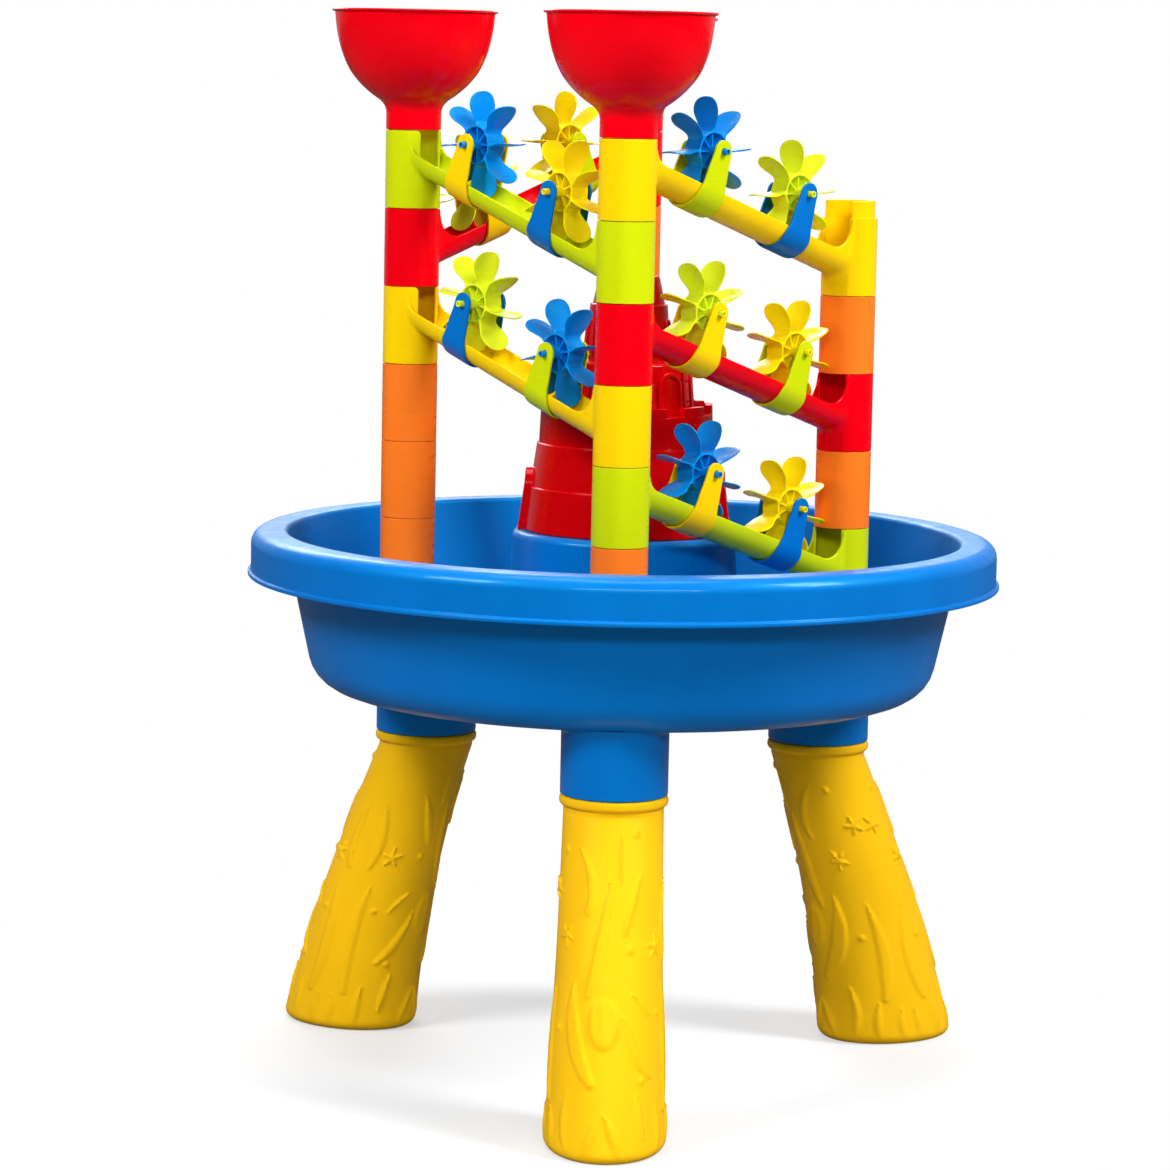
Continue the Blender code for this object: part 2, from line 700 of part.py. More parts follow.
def castle_mesh():
    """Three-tier hollow castle with a parapet and arched doors."""
    foot_r = PLINTH_R - PLINTH_ROUND - CASTLE_EDGE
    parapet_z = TIER_ONE_H + PARAPET_H
    outer = [
        (0, CASTLE_H),
        (TURRET_TOP_R - STEP_W, CASTLE_H),
        (TURRET_TOP_R, CASTLE_H - 2 * STEP_W),
        (TURRET_RING_R - TURRET_RING_W, TURRET_RING_H),
        (TURRET_RING_R, TURRET_RING_H),
        (TURRET_R, TIER_TWO_H),
        (TIER_TWO_TOP_R, TIER_TWO_H),
        (TIER_TWO_R, TIER_ONE_H),
        (TIER_ONE_R - PARAPET_T, TIER_ONE_H),
        (TIER_ONE_R - PARAPET_T, parapet_z),
        (TIER_ONE_R, parapet_z),
    ]
    lean = (foot_r - TIER_ONE_R) / TIER_ONE_H
    for height, inset in zip(reversed(STEP_H), reversed(STEP_IN)):
        radius = foot_r - lean * height - inset
        outer.append((radius, height))
        outer.append((radius + STEP_W, height))
    outer.append((foot_r, 0))
    inner = [
        (foot_r - CASTLE_WALL, 0),
        (TIER_ONE_R - CASTLE_WALL, TIER_ONE_H - CASTLE_WALL),
        (TIER_TWO_R - CASTLE_WALL, TIER_ONE_H - CASTLE_WALL),
        (TIER_TWO_TOP_R - CASTLE_WALL, TIER_TWO_H - CASTLE_WALL),
        (TURRET_R - CASTLE_WALL, TIER_TWO_H - CASTLE_WALL),
        (TURRET_RING_R - TURRET_RING_W - CASTLE_WALL, TURRET_RING_H - CASTLE_WALL),
        (TURRET_TOP_R - CASTLE_WALL, CASTLE_H - CASTLE_WALL),
        (0, CASTLE_H - CASTLE_WALL),
    ]

    def door():
        """An arched panel from inside the wall to a little in front of it, leaning with the wall."""
        sections = []
        for reach in (foot_r - DOOR_SINK, foot_r + DOOR_OUT):
            outline = [(DOOR_W / 2, 0.0)]
            for k in range(ARCH_STEPS + 1):
                turn = math.pi * k / ARCH_STEPS
                rise = DOOR_H - DOOR_W / 2 + DOOR_W / 2 * math.sin(turn)
                outline.append((DOOR_W / 2 * math.cos(turn), rise))
            outline.append((-DOOR_W / 2, 0.0))
            sections.append([(reach - lean * z, y, z) for y, z in outline])
        return loft(sections)

    steps = []
    for k in range(DOORS):
        body = door()
        turn = Matrix.Rotation(2 * math.pi * k / DOORS, 3, "Z")
        bmesh.ops.rotate(body, cent=(0, 0, 0), matrix=turn, verts=body.verts)
        steps.append(("UNION", body))
    for k in range(MERLONS):
        crenel = box(
            (TIER_ONE_R - PARAPET_T - CUT_OVER, -CRENEL_W / 2, TIER_ONE_H + GAP),
            (TIER_ONE_R + CUT_OVER, CRENEL_W / 2, parapet_z + CUT_OVER),
        )
        turn = Matrix.Rotation(2 * math.pi * (k + 0.5) / MERLONS, 3, "Z")
        bmesh.ops.rotate(crenel, cent=(0, 0, 0), matrix=turn, verts=crenel.verts)
        steps.append(("DIFFERENCE", crenel))
    walls = lathe(outer + inner, CASTLE_SIDES)
    for bm in [walls] + [tool for _, tool in steps]:
        bmesh.ops.triangulate(bm, faces=bm.faces)
    return mesh_of("castle", combined(walls, *steps))


add("tub", tub_mesh(), "blue")

leg = leg_mesh()
for side, degrees in LEG_ANGLES.items():
    add("leg_" + side, leg.copy(), "gold", Matrix.Rotation(math.radians(degrees), 4, "Z"))

chute = chute_mesh()
strap = strap_mesh()
wheel = wheel_mesh()
taken = {"right": {1}}
for name, (upper, lower, level) in CHUTES.items():
    add("chute_" + name, chute.copy(), name.split("_")[0], chute_frame(name))
    taken.setdefault(upper, set()).add(level)
    taken.setdefault(lower, set()).add(level + 1)
    for place in WHEEL_PLACE:
        wheel_colour, strap_colour, phase = WHEEL_COLOURS[name, place]
        frame = strap_frame(name, place)
        add("strap_" + name + "_" + place, strap.copy(), strap_colour, frame)
        axle = frame @ Matrix.Translation((0, 0, AXLE_UP))
        spin = Matrix.Rotation(-TILT - 2 * math.pi / PADDLES * phase, 4, "Y")
        add("wheel_" + name + "_" + place, wheel.copy(), wheel_colour, axle @ spin)

tube = tube_mesh()
for tower, degrees in TOWERS.items():
    for level in range(1, LEVELS + 1):
        if level in taken.get(tower, set()):
            continue
        place = polar(TOWER_RADIUS, degrees) + Vector((0, 0, level_z(level)))
        add("tube_" + tower + "_" + str(level), tube.copy(), "orange", Matrix.Translation(place))

funnel = funnel_mesh()
for tower in FUNNEL_TOWERS:
    place = polar(TOWER_RADIUS, TOWERS[tower]) + Vector((0, 0, TOWER_TOP + GAP))
    add("funnel_" + tower, funnel.copy(), "red", Matrix.Translation(place))

add("castle", castle_mesh(), "red", Matrix.Translation((0, 0, PLINTH_TOP + GAP)))
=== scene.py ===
"""Dresses the packed sand and water table: moulded pieces, plastic finishes, stage and camera."""

import math
from types import SimpleNamespace

import bmesh
import bpy
import numpy as np
from bpy.props import FloatProperty, FloatVectorProperty, IntProperty, PointerProperty
from mathutils import Matrix, Vector


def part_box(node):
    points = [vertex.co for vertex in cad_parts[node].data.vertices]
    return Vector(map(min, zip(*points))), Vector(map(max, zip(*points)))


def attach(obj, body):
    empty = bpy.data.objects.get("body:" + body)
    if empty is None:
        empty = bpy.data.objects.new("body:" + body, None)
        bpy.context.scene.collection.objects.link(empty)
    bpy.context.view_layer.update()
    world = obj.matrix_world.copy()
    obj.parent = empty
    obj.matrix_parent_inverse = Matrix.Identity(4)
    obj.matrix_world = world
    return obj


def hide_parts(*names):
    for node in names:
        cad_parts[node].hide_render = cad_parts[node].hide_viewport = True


bl_info = {
    "name": "Sand Table",
    "version": (1, 0, 0),
    "blender": (4, 5, 0),
    "location": "View3D > Sidebar > Sand Table",
    "description": "Models the moulded pieces of a sand and water table around its packed frame",
    "category": "Add Mesh",
}

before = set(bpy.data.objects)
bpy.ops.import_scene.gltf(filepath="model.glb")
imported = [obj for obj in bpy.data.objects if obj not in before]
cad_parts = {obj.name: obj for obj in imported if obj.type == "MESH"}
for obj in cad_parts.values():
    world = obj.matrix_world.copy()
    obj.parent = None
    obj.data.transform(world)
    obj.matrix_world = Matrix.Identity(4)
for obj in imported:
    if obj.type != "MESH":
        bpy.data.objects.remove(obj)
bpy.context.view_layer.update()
TUB_LOW, TUB_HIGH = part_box("tub")
AXIS_Y = (TUB_LOW.y + TUB_HIGH.y) / 2

LEG_TURNS = {"front": -90.0, "right": 30.0, "left": 150.0}
TOWER_TURNS = {"left": 180.0, "front": -90.0, "right": 0.0, "back": 90.0}
FUNNEL_TOWERS = ("left", "front", "back")
# Upper tower, lower tower and the level of the upper segment.
CHUTE_RUNS = {
    "lime_high": ("left", "front", 1),
    "red_back": ("back", "left", 1),
    "yellow_left": ("left", "front", 3),
    "yellow_high": ("front", "right", 1),
    "red_right": ("front", "right", 3),
    "lime_low": ("front", "right", 5),
}
# Wheel colour, strap colour and how far the wheel is turned, in paddle steps.
WHEEL_SETS = {
    ("lime_high", "upper"): ("blue", "yellow", 0.0),
    ("lime_high", "lower"): ("yellow", "blue", 0.5),
    ("red_back", "upper"): ("yellow", "lime", 0.0),
    ("red_back", "lower"): ("lime", "yellow", 0.5),
    ("yellow_left", "upper"): ("lime", "blue", 0.67),
    ("yellow_left", "lower"): ("blue", "lime", 0.2),
    ("yellow_high", "upper"): ("blue", "lime", 0.0),
    ("yellow_high", "lower"): ("lime", "blue", 0.0),
    ("red_right", "upper"): ("lime", "yellow", 0.5),
    ("red_right", "lower"): ("yellow", "lime", 0.5),
    ("lime_low", "upper"): ("blue", "yellow", 0.5),
    ("lime_low", "lower"): ("yellow", "blue", 0.5),
}
PLASTIC_IOR = 1.49
# Coat weight and coat roughness of the finishes, where they differ from the usual ones.
USUAL_COAT = (0.12, 0.16)
COATS = {"gold": (0.0, 0.16), "red": (0.22, 0.12), "blue": (0.12, 0.08), "castle_red": (0.25, 0.10)}
# Specular level, and the power that pales its tint.
USUAL_SHEEN = (0.22, 0.5)
SHEENS = {"blue": (0.50, 0.05)}
LEAST_TINT = 0.04
# Strength of the fine grain, and how dark the flow marks are against the colour.
USUAL_GRAIN = 0.04
GRAINS = {"gold": 0.10}
FLOW_DARK = (0.90, 0.90, 0.92)
# Noise scale, detail and stretch of the marks on moulded plastic.
EVEN = (1.0, 1.0, 1.0)
FLOW_MARKS = (14.0, 3.0, (1.0, 1.0, 0.35))
SCUFFS = (60.0, 6.0, (1.0, 1.0, 2.5))
GRAIN = (700.0, 2.0, EVEN)
# Depth below the lip and spread beyond the neck of a funnel's bowl, both as shares.
BOWL_SHAPE = (
    (0.0, 0.948),
    (0.17, 0.914),
    (0.365, 0.836),
    (0.565, 0.686),
    (0.712, 0.486),
    (0.82, 0.27),
    (0.885, 0.105),
    (0.945, 0.022),
    (1.0, 0.0),
)
# Arched panels on the castle: width, height, relief, width of the frame and depth of the sunken field.
WINDOW = (0.024, 0.0340, 0.0026, 0.0030, 0.0024)
SLIT = (0.014, 0.030, 0.0020, 0.0024, 0.0018)
# How many go round a tier, and where the first ones stand, in degrees.
PANELS_ROUND = 8
WINDOW_TURN = -47.0
STONE_TURN = -29.5
SLIT_TURN = -17.5
# Lower and upper edges of the stone courses between the windows.
STONE_COURSES = ((0.0965, 0.1055), (0.1065, 0.1215), (0.1225, 0.1320))
# Place, height aimed at, size and power of the area lights.
LAMPS = {
    "key": ((2.7, -1.1, 2.9), 0.5, (1.0, 1.6), 150.0),
    "front": ((0.4, -4.1, 2.05), 0.45, (3.0, 0.5), 90.0),
    "side": ((-2.6, -2.0, 2.8), 0.45, (1.4, 1.0), 112.0),
    "top": ((-0.2, 0.1, 3.4), 0.4, (1.6, 1.6), 58.0),
    "back": ((-0.8, 3.6, 2.3), 0.45, (3.0, 1.0), 90.0),
}
SHADE_CENTRE = (-0.15, 0.05, 0.0)


def length(name, description, default):
    return FloatProperty(name=name, description=description, default=default, unit="LENGTH", precision=5)


def count(name, description, default):
    return IntProperty(name=name, description=description, default=default, min=3)


def share(name, description, default):
    return FloatProperty(
        name=name, description=description, default=default, subtype="FACTOR", min=0.0, max=1.0, precision=4
    )


def angle(name, description, default):
    return FloatProperty(name=name, description=description, default=default, subtype="ANGLE", precision=5)


def colour(name, description, default):
    return FloatVectorProperty(
        name=name, description=description, default=default, subtype="COLOR", size=3, min=0.0, max=1.0
    )


class TubSizes(bpy.types.PropertyGroup):
    """The round tub, its rim and plinth, and the sockets and posts on it."""

    floor_z: length("Floor", "Height of the tub's inner floor", 0.314)
    depth: length("Depth", "From the floor to the top of the rim", 0.1235)
    wall: length("Wall", "Thickness of the moulding", 0.003)
    body_r: length("Body radius", "Outer radius where the wall leaves its bend", 0.2545)
    body_lean: length("Lean", "How far the wall leans out up to the rim", 0.0165)
    bend_h: length("Bend height", "Height of the bend between floor and wall", 0.031)
    bend_r: length("Bend radius", "Radius of the bend between floor and wall", 0.028)
    rim_w: length("Rim width", "Width of the flat rim", 0.029)
    rim_round: length("Rim round", "Radius of the rim's outer edge", 0.011)
    flange_drop: length("Flange", "Height of the turned-down flange", 0.036)
    lip_out: length("Lip", "How far the flange's lower lip stands out", 0.0025)
    lip_h: length("Lip height", "Height of that lip", 0.0035)
    plinth_r: length("Plinth radius", "Radius of the plinth's top", 0.090)
    plinth_draft: length("Plinth draft", "How much wider the plinth is at its foot", 0.0045)
    plinth_rise: length("Plinth rise", "How far the plinth stands above the rim", 0.0025)
    plinth_round: length("Plinth round", "Radius of the plinth's upper edge", 0.006)
    socket_radius: length("Socket circle", "Radius of the circle of leg sockets", 0.189)
    socket_r: length("Socket radius", "Outer radius of a leg socket", 0.0415)
    socket_wall: length("Socket wall", "Wall of a leg socket", 0.0027)
    socket_h: length("Socket height", "Height of a leg socket", 0.053)


class LegSizes(bpy.types.PropertyGroup):
    """The splayed legs with their collar and low relief."""

    collar_r: length("Collar radius", "Radius of the rolled collar", 0.0420)
    collar_h: length("Collar height", "Height of the rolled collar", 0.0082)
    neck_drop: length("Neck", "From the collar down to the full neck", 0.0035)
    neck_r: length("Neck radius", "Radius below the collar", 0.0387)
    splay: length("Splay", "How far the foot stands out from the socket", 0.0745)
    foot_half_t: length("Foot half width", "Half the foot's width across", 0.047)
    foot_half_r: length("Foot half length", "Half the foot's length outwards", 0.060)
    foot_round: length("Foot round", "Radius of the foot's lower edge", 0.009)
    relief: length("Relief", "Height of the moulded relief", 0.0016)
    mean_r: length("Mean radius", "Radius on which the relief is unrolled", 0.047)
    spigot_h: length("Spigot height", "How far the spigot reaches into its socket", 0.036)
    spigot_fit: length("Spigot fit", "Play between spigot and socket", 0.0005)
    spigot_wall: length("Spigot wall", "Wall of the spigot", 0.0025)


class TubeSizes(bpy.types.PropertyGroup):
    """The tower segments."""

    tower_radius: length("Tower circle", "Radius of the circle of towers", 0.175)
    radius: length("Radius", "Outer radius of a tube", 0.022)
    wall: length("Wall", "Wall of a tube", 0.0017)
    pitch: length("Pitch", "Height of one segment", 0.062)
    boss_h: length("Boss height", "Height of the posts on the tub's floor", 0.009)
    boss_out: length("Boss step", "How much wider a post is than a tube", 0.0025)
    spigot_h: length("Male top height", "Height of a segment's male top", 0.0138)
    spigot_play: length("Male top play", "Play between male top and bore", 0.0003)
    spigot_taper: length("Male top taper", "Taper of the male top", 0.0003)
    spigot_wall: length("Male top wall", "Wall of the male top", 0.0018)
    gap: length("Seam", "Gap between neighbouring pieces", 0.0003)
    seam_round: length("Seam round", "Radius of the edges at a seam", 0.0006)
    levels: count("Levels", "Segments in a full tower", 7)


class ChuteSizes(bpy.types.PropertyGroup):
    """The sloped half-pipes between two towers."""

    half_w: length("Half width", "Half the channel's outer width", 0.017)
    wall: length("Wall", "Wall of the channel", 0.002)
    depth: length("Depth", "Depth of the channel", 0.0178)
    high: length("Upper seat", "Height of the channel on its upper segment", 0.0238)
    low: length("Lower seat", "Height of the channel on its lower segment", 0.0163)
    horn_up: length("Upper sweep", "Radius of the wall's sweep at the upper tube", 0.009)
    horn_low: length("Lower sweep", "Run of the wall's sweep at the lower tube", 0.024)
    horn_gap: length("Sweep gap", "From the lower sweep's top to the tube's top", 0.0008)
    outlet_w: length("Outlet width", "Width of the slot in the upper segment", 0.019)
    sill: length("Sill", "Height of the outlet's sill above the channel", 0.0045)
    fillet: length("Fillet", "Fillet where the channel's walls meet a tube", 0.0016)
    fillet_low: length("Lower fillet", "Fillet where the channel's floor meets a tube", 0.0045)
    corner: length("Corner", "Radius of the slots' corners", 0.0032)


class WheelSizes(bpy.types.PropertyGroup):
    """The paddle wheels and the straps that carry them."""

    radius: length("Radius", "Radius at the paddles' tips", 0.042)
    clear: length("Clearance", "From the paddles' tips to the channel's floor", 0.003)
    paddles: count("Paddles", "Paddles on a wheel", 8)
    paddle_t: length("Paddle thickness", "Thickness of a paddle", 0.0016)
    paddle_clear: length("Side clearance", "From a paddle's side to the channel's wall", 0.0018)
    dish: length("Dish", "How far a paddle's sides curl", 0.0016)
    drum_r: length("Drum radius", "Outer radius of the open drum", 0.0155)
    drum_wall: length("Drum wall", "Wall of the drum", 0.0015)
    drum_half_w: length("Drum half width", "Half the drum's width", 0.0085)
    web_t: length("Web", "Thickness of the drum's middle web", 0.002)
    hub_r: length("Hub radius", "Radius of the hub", 0.0045)
    pin_r: length("Pin radius", "Radius of the stub pins", 0.0025)
    pin_fit: length("Pin play", "Play round a pin", 0.0005)
    pin_out: length("Pin length", "How far a pin stands out of its strap", 0.0045)
    play: length("End play", "Play between hub and strap", 0.0005)
    strap_t: length("Strap thickness", "Thickness of a strap", 0.0022)
    strap_half_w: length("Strap half width", "Half the strap's width under the channel", 0.014)
    arm_half_w: length("Arm half width", "Half the width of a strap's arm at the pin", 0.0088)
    place_upper: share("Upper place", "Share of the free run before the upper wheel", 0.55)
    place_lower: share("Lower place", "Share of the free run before the lower wheel", 0.90)


class FunnelSizes(bpy.types.PropertyGroup):
    """The funnels on the tall towers."""

    radius: length("Radius", "Radius of the lip", 0.066)
    height: length("Height", "Height of the whole funnel", 0.095)
    bowl_h: length("Bowl height", "Height of the bowl", 0.081)
    wall: length("Wall", "Wall of the bowl", 0.002)
    neck_play: length("Neck play", "Play round the tube's male top", 0.0007)
    lip_h: length("Lip height", "Height of the rolled lip", 0.0024)
    bead: length("Bead", "How far the lip's bead stands inwards", 0.0013)


class CastleSizes(bpy.types.PropertyGroup):
    """The castle mould."""

    edge: length("Edge", "From the castle's foot to the plinth's round", 0.002)
    wall: length("Wall", "Wall of the mould", 0.0025)
    step_w: length("Step", "Width of the steps round the lower tier", 0.0015)
    step_low_r: length("Lower step radius", "Radius above the lower step", 0.0762)
    step_low_h: length("Lower step height", "Height of the lower step", 0.035)
    step_high_r: length("Upper step radius", "Radius above the upper step", 0.0700)
    step_high_h: length("Upper step height", "Height of the upper step", 0.070)
    tier_one_r: length("Lower radius", "Radius at the top of the lower tier", 0.069)
    tier_one_h: length("Lower height", "Height of the lower terrace", 0.096)
    parapet_h: length("Parapet height", "Height of the merlons", 0.007)
    parapet_t: length("Parapet thickness", "Thickness of the merlons", 0.006)
    merlons: count("Merlons", "Merlons round the terrace", 10)
    crenel_w: length("Crenel", "Gap between two merlons", 0.016)
    tier_two_r: length("Middle radius", "Radius at the foot of the middle tier", 0.0525)
    tier_two_top_r: length("Middle top radius", "Radius at the top of the middle tier", 0.049)
    tier_two_h: length("Middle height", "Height of the middle tier's top", 0.137)
    turret_r: length("Turret radius", "Radius at the turret's foot", 0.035)
    turret_ring_r: length("Turret ring", "Radius of the turret's ring", 0.031)
    turret_ring_w: length("Turret ring width", "Width of the turret's ring", 0.002)
    turret_ring_h: length("Turret ring height", "Height of the turret's ring", 0.182)
    turret_top_r: length("Turret top", "Radius of the turret's top", 0.024)
    height: length("Height", "Height of the castle", 0.205)
    door_w: length("Door width", "Width of an arched door", 0.030)
    door_h: length("Door height", "Height of an arched door", 0.0495)
    door_out: length("Door relief", "How far a door stands out", 0.0047)
    door_frame: length("Door frame", "Width of a door's frame", 0.0040)
    door_sunk: length("Door field", "Depth of a door's sunken field", 0.0018)
    doors: count("Doors", "Arched doors round the lower tier", 4)
    slit_up: length("Slit height", "From the turret's foot up to its slits", 0.004)
    stone_out: length("Stone relief", "How far the stone courses stand out", 0.0016)
    stone_wide: angle("Stone width", "Angle that a stone course takes up", math.radians(10.0))


class Finishes(bpy.types.PropertyGroup):
    """Colours and gloss of the moulded plastics."""

    blue: colour("Blue", "Tub, straps and wheels", (0.0, 0.146, 0.520))
    gold: colour("Gold", "Legs", (0.950, 0.530, 0.006))
    yellow: colour("Yellow", "Chutes, tubes, straps and wheels", (0.980, 0.630, 0.002))
    lime: colour("Lime", "Chutes, straps and wheels", (0.600, 0.700, 0.003))
    red: colour("Red", "Funnels and chutes", (0.860, 0.0, 0.006))
    orange: colour("Orange", "Plain tubes", (1.0, 0.200, 0.016))
    # The castle's red is painted deeper than the funnels' red: painted shade for the shade the castle
    # stands in among the towers.
    castle_red: colour("Castle red", "The castle's deeper red", (0.590, 0.0, 0.002))
    # Paler copies of blue, yellow and lime for the paddles. This is painted light: they are made lighter to
    # stand in for light passing through the thin plastic.
    thin_blue: colour("Thin blue", "Thin paddles, which let some light through", (0.0, 0.240, 0.720))
    thin_yellow: colour("Thin yellow", "Thin paddles, which let some light through", (1.0, 0.800, 0.004))
    thin_lime: colour("Thin lime", "Thin paddles, which let some light through", (0.780, 0.900, 0.020))
    gloss: share("Roughness", "Roughness of the glossy pieces", 0.27)
    satin: share("Satin roughness", "Roughness of the legs", 0.42)


class StageSettings(bpy.types.PropertyGroup):
    """Camera, light and floor."""

    distance: length("Distance", "From the tub's axis to the camera", 3.27658)
    eye: length("Eye height", "Height of the camera", 0.81141)
    aside: length("Aside", "Camera's offset to its right", -0.03063)
    turn: angle("Turn", "Camera's turn round the table", 0.02751)
    pitch: angle("Pitch", "Camera's downward pitch", 0.12661)
    roll: angle("Roll", "Camera's roll", 0.02064)
    lens: FloatProperty(
        name="Lens", description="Focal length in millimetres", default=125.74, subtype="DISTANCE_CAMERA"
    )
    floor: length("Floor", "Half the size of the floor", 8.0)
    paper_seen: share("Paper", "Tone of the paper to the camera", 0.82)
    paper_bounce: share("Paper bounce", "Tone of the paper to light that bounces", 0.22)
    paper_gloss: share("Paper gloss", "Tone of the paper in reflections", 0.05)
    shade_in: length("Shade radius", "Radius inside which the paper shows its shadows", 0.24)
    shade_out: length("White radius", "Radius outside which the paper is plain white", 0.62)
    shade_white: share("Shade white", "Share of plain white inside the shade radius", 0.44)
    sky_fill: share("Sky fill", "Strength of the sky's even light", 0.10)
    sky_near: share("Sky near", "Strength of the sky in reflections, on the camera's side", 0.03)
    sky_far: share("Sky far", "Strength of the sky in reflections, behind the table", 0.40)


def plan(scene):
    """Places that several pieces share, worked out from the sizes."""
    tub, tube, chute, wheel = scene.sand_tub, scene.sand_tubes, scene.sand_chutes, scene.sand_wheels
    p = SimpleNamespace()
    p.rim_top = tub.floor_z + tub.depth
    p.plinth_top = p.rim_top + tub.plinth_rise
    p.under = tub.floor_z - tub.wall
    p.socket_bottom = p.under - tub.socket_h
    p.tower_top = tub.floor_z + tube.boss_h + tube.levels * tube.pitch
    p.spacing = tube.tower_radius * math.sqrt(2)
    p.bore_r = tube.radius - tube.wall
    p.spigot_r = p.bore_r - tube.spigot_play
    p.spigot_tip_r = p.spigot_r - tube.spigot_taper
    p.spigot_bore_r = p.spigot_tip_r - tube.spigot_wall
    p.chute_top = chute.high - tube.pitch
    p.chute_end = chute.low - 2 * tube.pitch
    p.slope = (p.chute_top - p.chute_end) / (p.spacing - 2 * tube.radius)
    p.tilt = math.atan(p.slope)
    p.axle_up = wheel.radius + wheel.clear + chute.wall
    p.strap_in = chute.half_w + tube.gap
    p.strap_out = p.strap_in + wheel.strap_t
    p.free_run = p.spacing - 2 * tube.radius - 4 * wheel.radius
    return p


def spun(turn):
    return Matrix.Rotation(turn, 4, "Z")


def shifted(x, y, z):
    return Matrix.Translation((x, y, z))


def polar(radius, degrees):
    turn = math.radians(degrees)
    return Vector((radius * math.cos(turn), radius * math.sin(turn), 0.0))


def level_z(scene, level):
    """Height of a segment's lower end, level 1 being the topmost."""
    return plan(scene).tower_top - scene.sand_tubes.pitch * level


def chute_frame(scene, name):
    """The chute's own frame: top of its upper segment, X towards the lower tower."""
    upper, lower, level = CHUTE_RUNS[name]
    radius = scene.sand_tubes.tower_radius
    start = polar(radius, TOWER_TURNS[upper])
    way = polar(radius, TOWER_TURNS[lower]) - start
    turn = Matrix.Rotation(math.atan2(way.y, way.x), 4, "Z")
    top = Vector((0.0, 0.0, level_z(scene, level) + scene.sand_tubes.pitch))
    return Matrix.Translation(start + top) @ turn


def underside(scene, x):
    p = plan(scene)
    return p.chute_top - p.slope * (x - scene.sand_tubes.radius)


def strap_frame(scene, name, place):
    """A frame on the channel's underside, X down the slope and Z square to it."""
    p = plan(scene)
    wheel = scene.sand_wheels
    before = 1 if place == "upper" else 3
    free = wheel.place_upper if place == "upper" else wheel.place_lower
    axle = scene.sand_tubes.radius + wheel.radius * before + p.free_run * free
    x = axle - p.axle_up * math.sin(p.tilt)
    seat = Matrix.Translation((x, 0.0, underside(scene, x)))
    return chute_frame(scene, name) @ seat @ Matrix.Rotation(p.tilt, 4, "Y")


def plain_segments():
    """Tower and level of each plain tube: the levels that no chute takes."""
    taken = {(tower, level) for tower, _, level in CHUTE_RUNS.values()}
    taken |= {(tower, level + 1) for _, tower, level in CHUTE_RUNS.values()}
    taken.add(("right", 1))
    levels = bpy.context.scene.sand_tubes.levels
    return [(t, k) for t in TOWER_TURNS for k in range(1, levels + 1) if (t, k) not in taken]


def filleted(corners, steps=4):
    """Points of a closed outline whose corners (x, y, radius) are rounded."""
    points = []
    for i, (x, y, radius) in enumerate(corners):
        here = Vector((x, y))
        if radius <= 0:
            points.append(here)
            continue
        before = Vector(corners[i - 1][:2]) - here
        after = Vector(corners[(i + 1) % len(corners)][:2]) - here
        half = before.angle(after) / 2
        reach = min(radius / math.tan(half), 0.48 * before.length, 0.48 * after.length)
        bow = reach * math.tan(half)
        middle = before.normalized() + after.normalized()
        centre = here + middle.normalized() * (bow / math.sin(half))
        first = here + before.normalized() * reach - centre
        last = here + after.normalized() * reach - centre
        start = math.atan2(first.y, first.x)
        sweep = (math.atan2(last.y, last.x) - start + math.pi) % (2 * math.pi) - math.pi
        for k in range(steps + 1):
            turn = start + sweep * k / steps
            points.append(centre + bow * Vector((math.cos(turn), math.sin(turn))))
    return points


def smooth_chain(points, steps):
    """A smooth curve through the points, with some steps between each two."""
    chain = []
    padded = [points[0]] + list(points) + [points[-1]]
    for a, b, c, d in zip(padded, padded[1:], padded[2:], padded[3:]):
        for k in range(steps):
            t = k / steps
            spot = []
            for p0, p1, p2, p3 in zip(a, b, c, d):
                bend = 2 * p0 - 5 * p1 + 4 * p2 - p3
                twist = 3 * p1 - p0 - 3 * p2 + p3
                spot.append(0.5 * (2 * p1 + (p2 - p0) * t + bend * t * t + twist * t ** 3))
            chain.append(tuple(spot))
    chain.append(tuple(points[-1]))
    return chain


def turned(points, steps, turn=2 * math.pi):
    """Spins a closed outline of (radius, height) about Z. One that starts on the axis ends on it."""
    bm = bmesh.new()
    verts = [bm.verts.new((r, 0.0, z)) for r, z in points]
    edges = [bm.edges.new(pair) for pair in zip(verts, verts[1:])]
    if points[0][0] > 1e-7:
        edges.append(bm.edges.new((verts[-1], verts[0])))
    whole = turn > 2 * math.pi - 1e-6
    if not whole:
        bm.faces.new(verts)
    bmesh.ops.spin(
        bm,
        geom=bm.verts[:] + bm.edges[:] + bm.faces[:],
        cent=(0.0, 0.0, 0.0),
        axis=(0.0, 0.0, 1.0),
        angle=turn,
        steps=steps,
        use_merge=whole,
    )
    return closed(bm)


def draped(u_steps, v_steps, place):
    """A grid laid out by place(u, v), both from 0 to 1, with seams merged and open ends filled."""
    bm = bmesh.new()
    bmesh.ops.create_grid(bm, x_segments=u_steps, y_segments=v_steps, size=0.5)
    for vert in bm.verts:
        vert.co = place(vert.co.x + 0.5, vert.co.y + 0.5)
    return closed(bm)


def closed(bm):
    bmesh.ops.remove_doubles(bm, verts=bm.verts, dist=1e-6)
    rims = [edge for edge in bm.edges if edge.is_boundary]
    if rims:
        bmesh.ops.holes_fill(bm, edges=rims, sides=0)
    bmesh.ops.recalc_face_normals(bm, faces=bm.faces)
    return bm


def moved(bm, matrix):
    bmesh.ops.transform(bm, matrix=matrix, verts=bm.verts)
    return bm


def gathered(bodies):
    """Several bodies as one."""
    whole = bmesh.new()
    for body in bodies:
        mesh = bpy.data.meshes.new("part")
        body.to_mesh(mesh)
        body.free()
        whole.from_mesh(mesh)
        bpy.data.meshes.remove(mesh)
    return whole


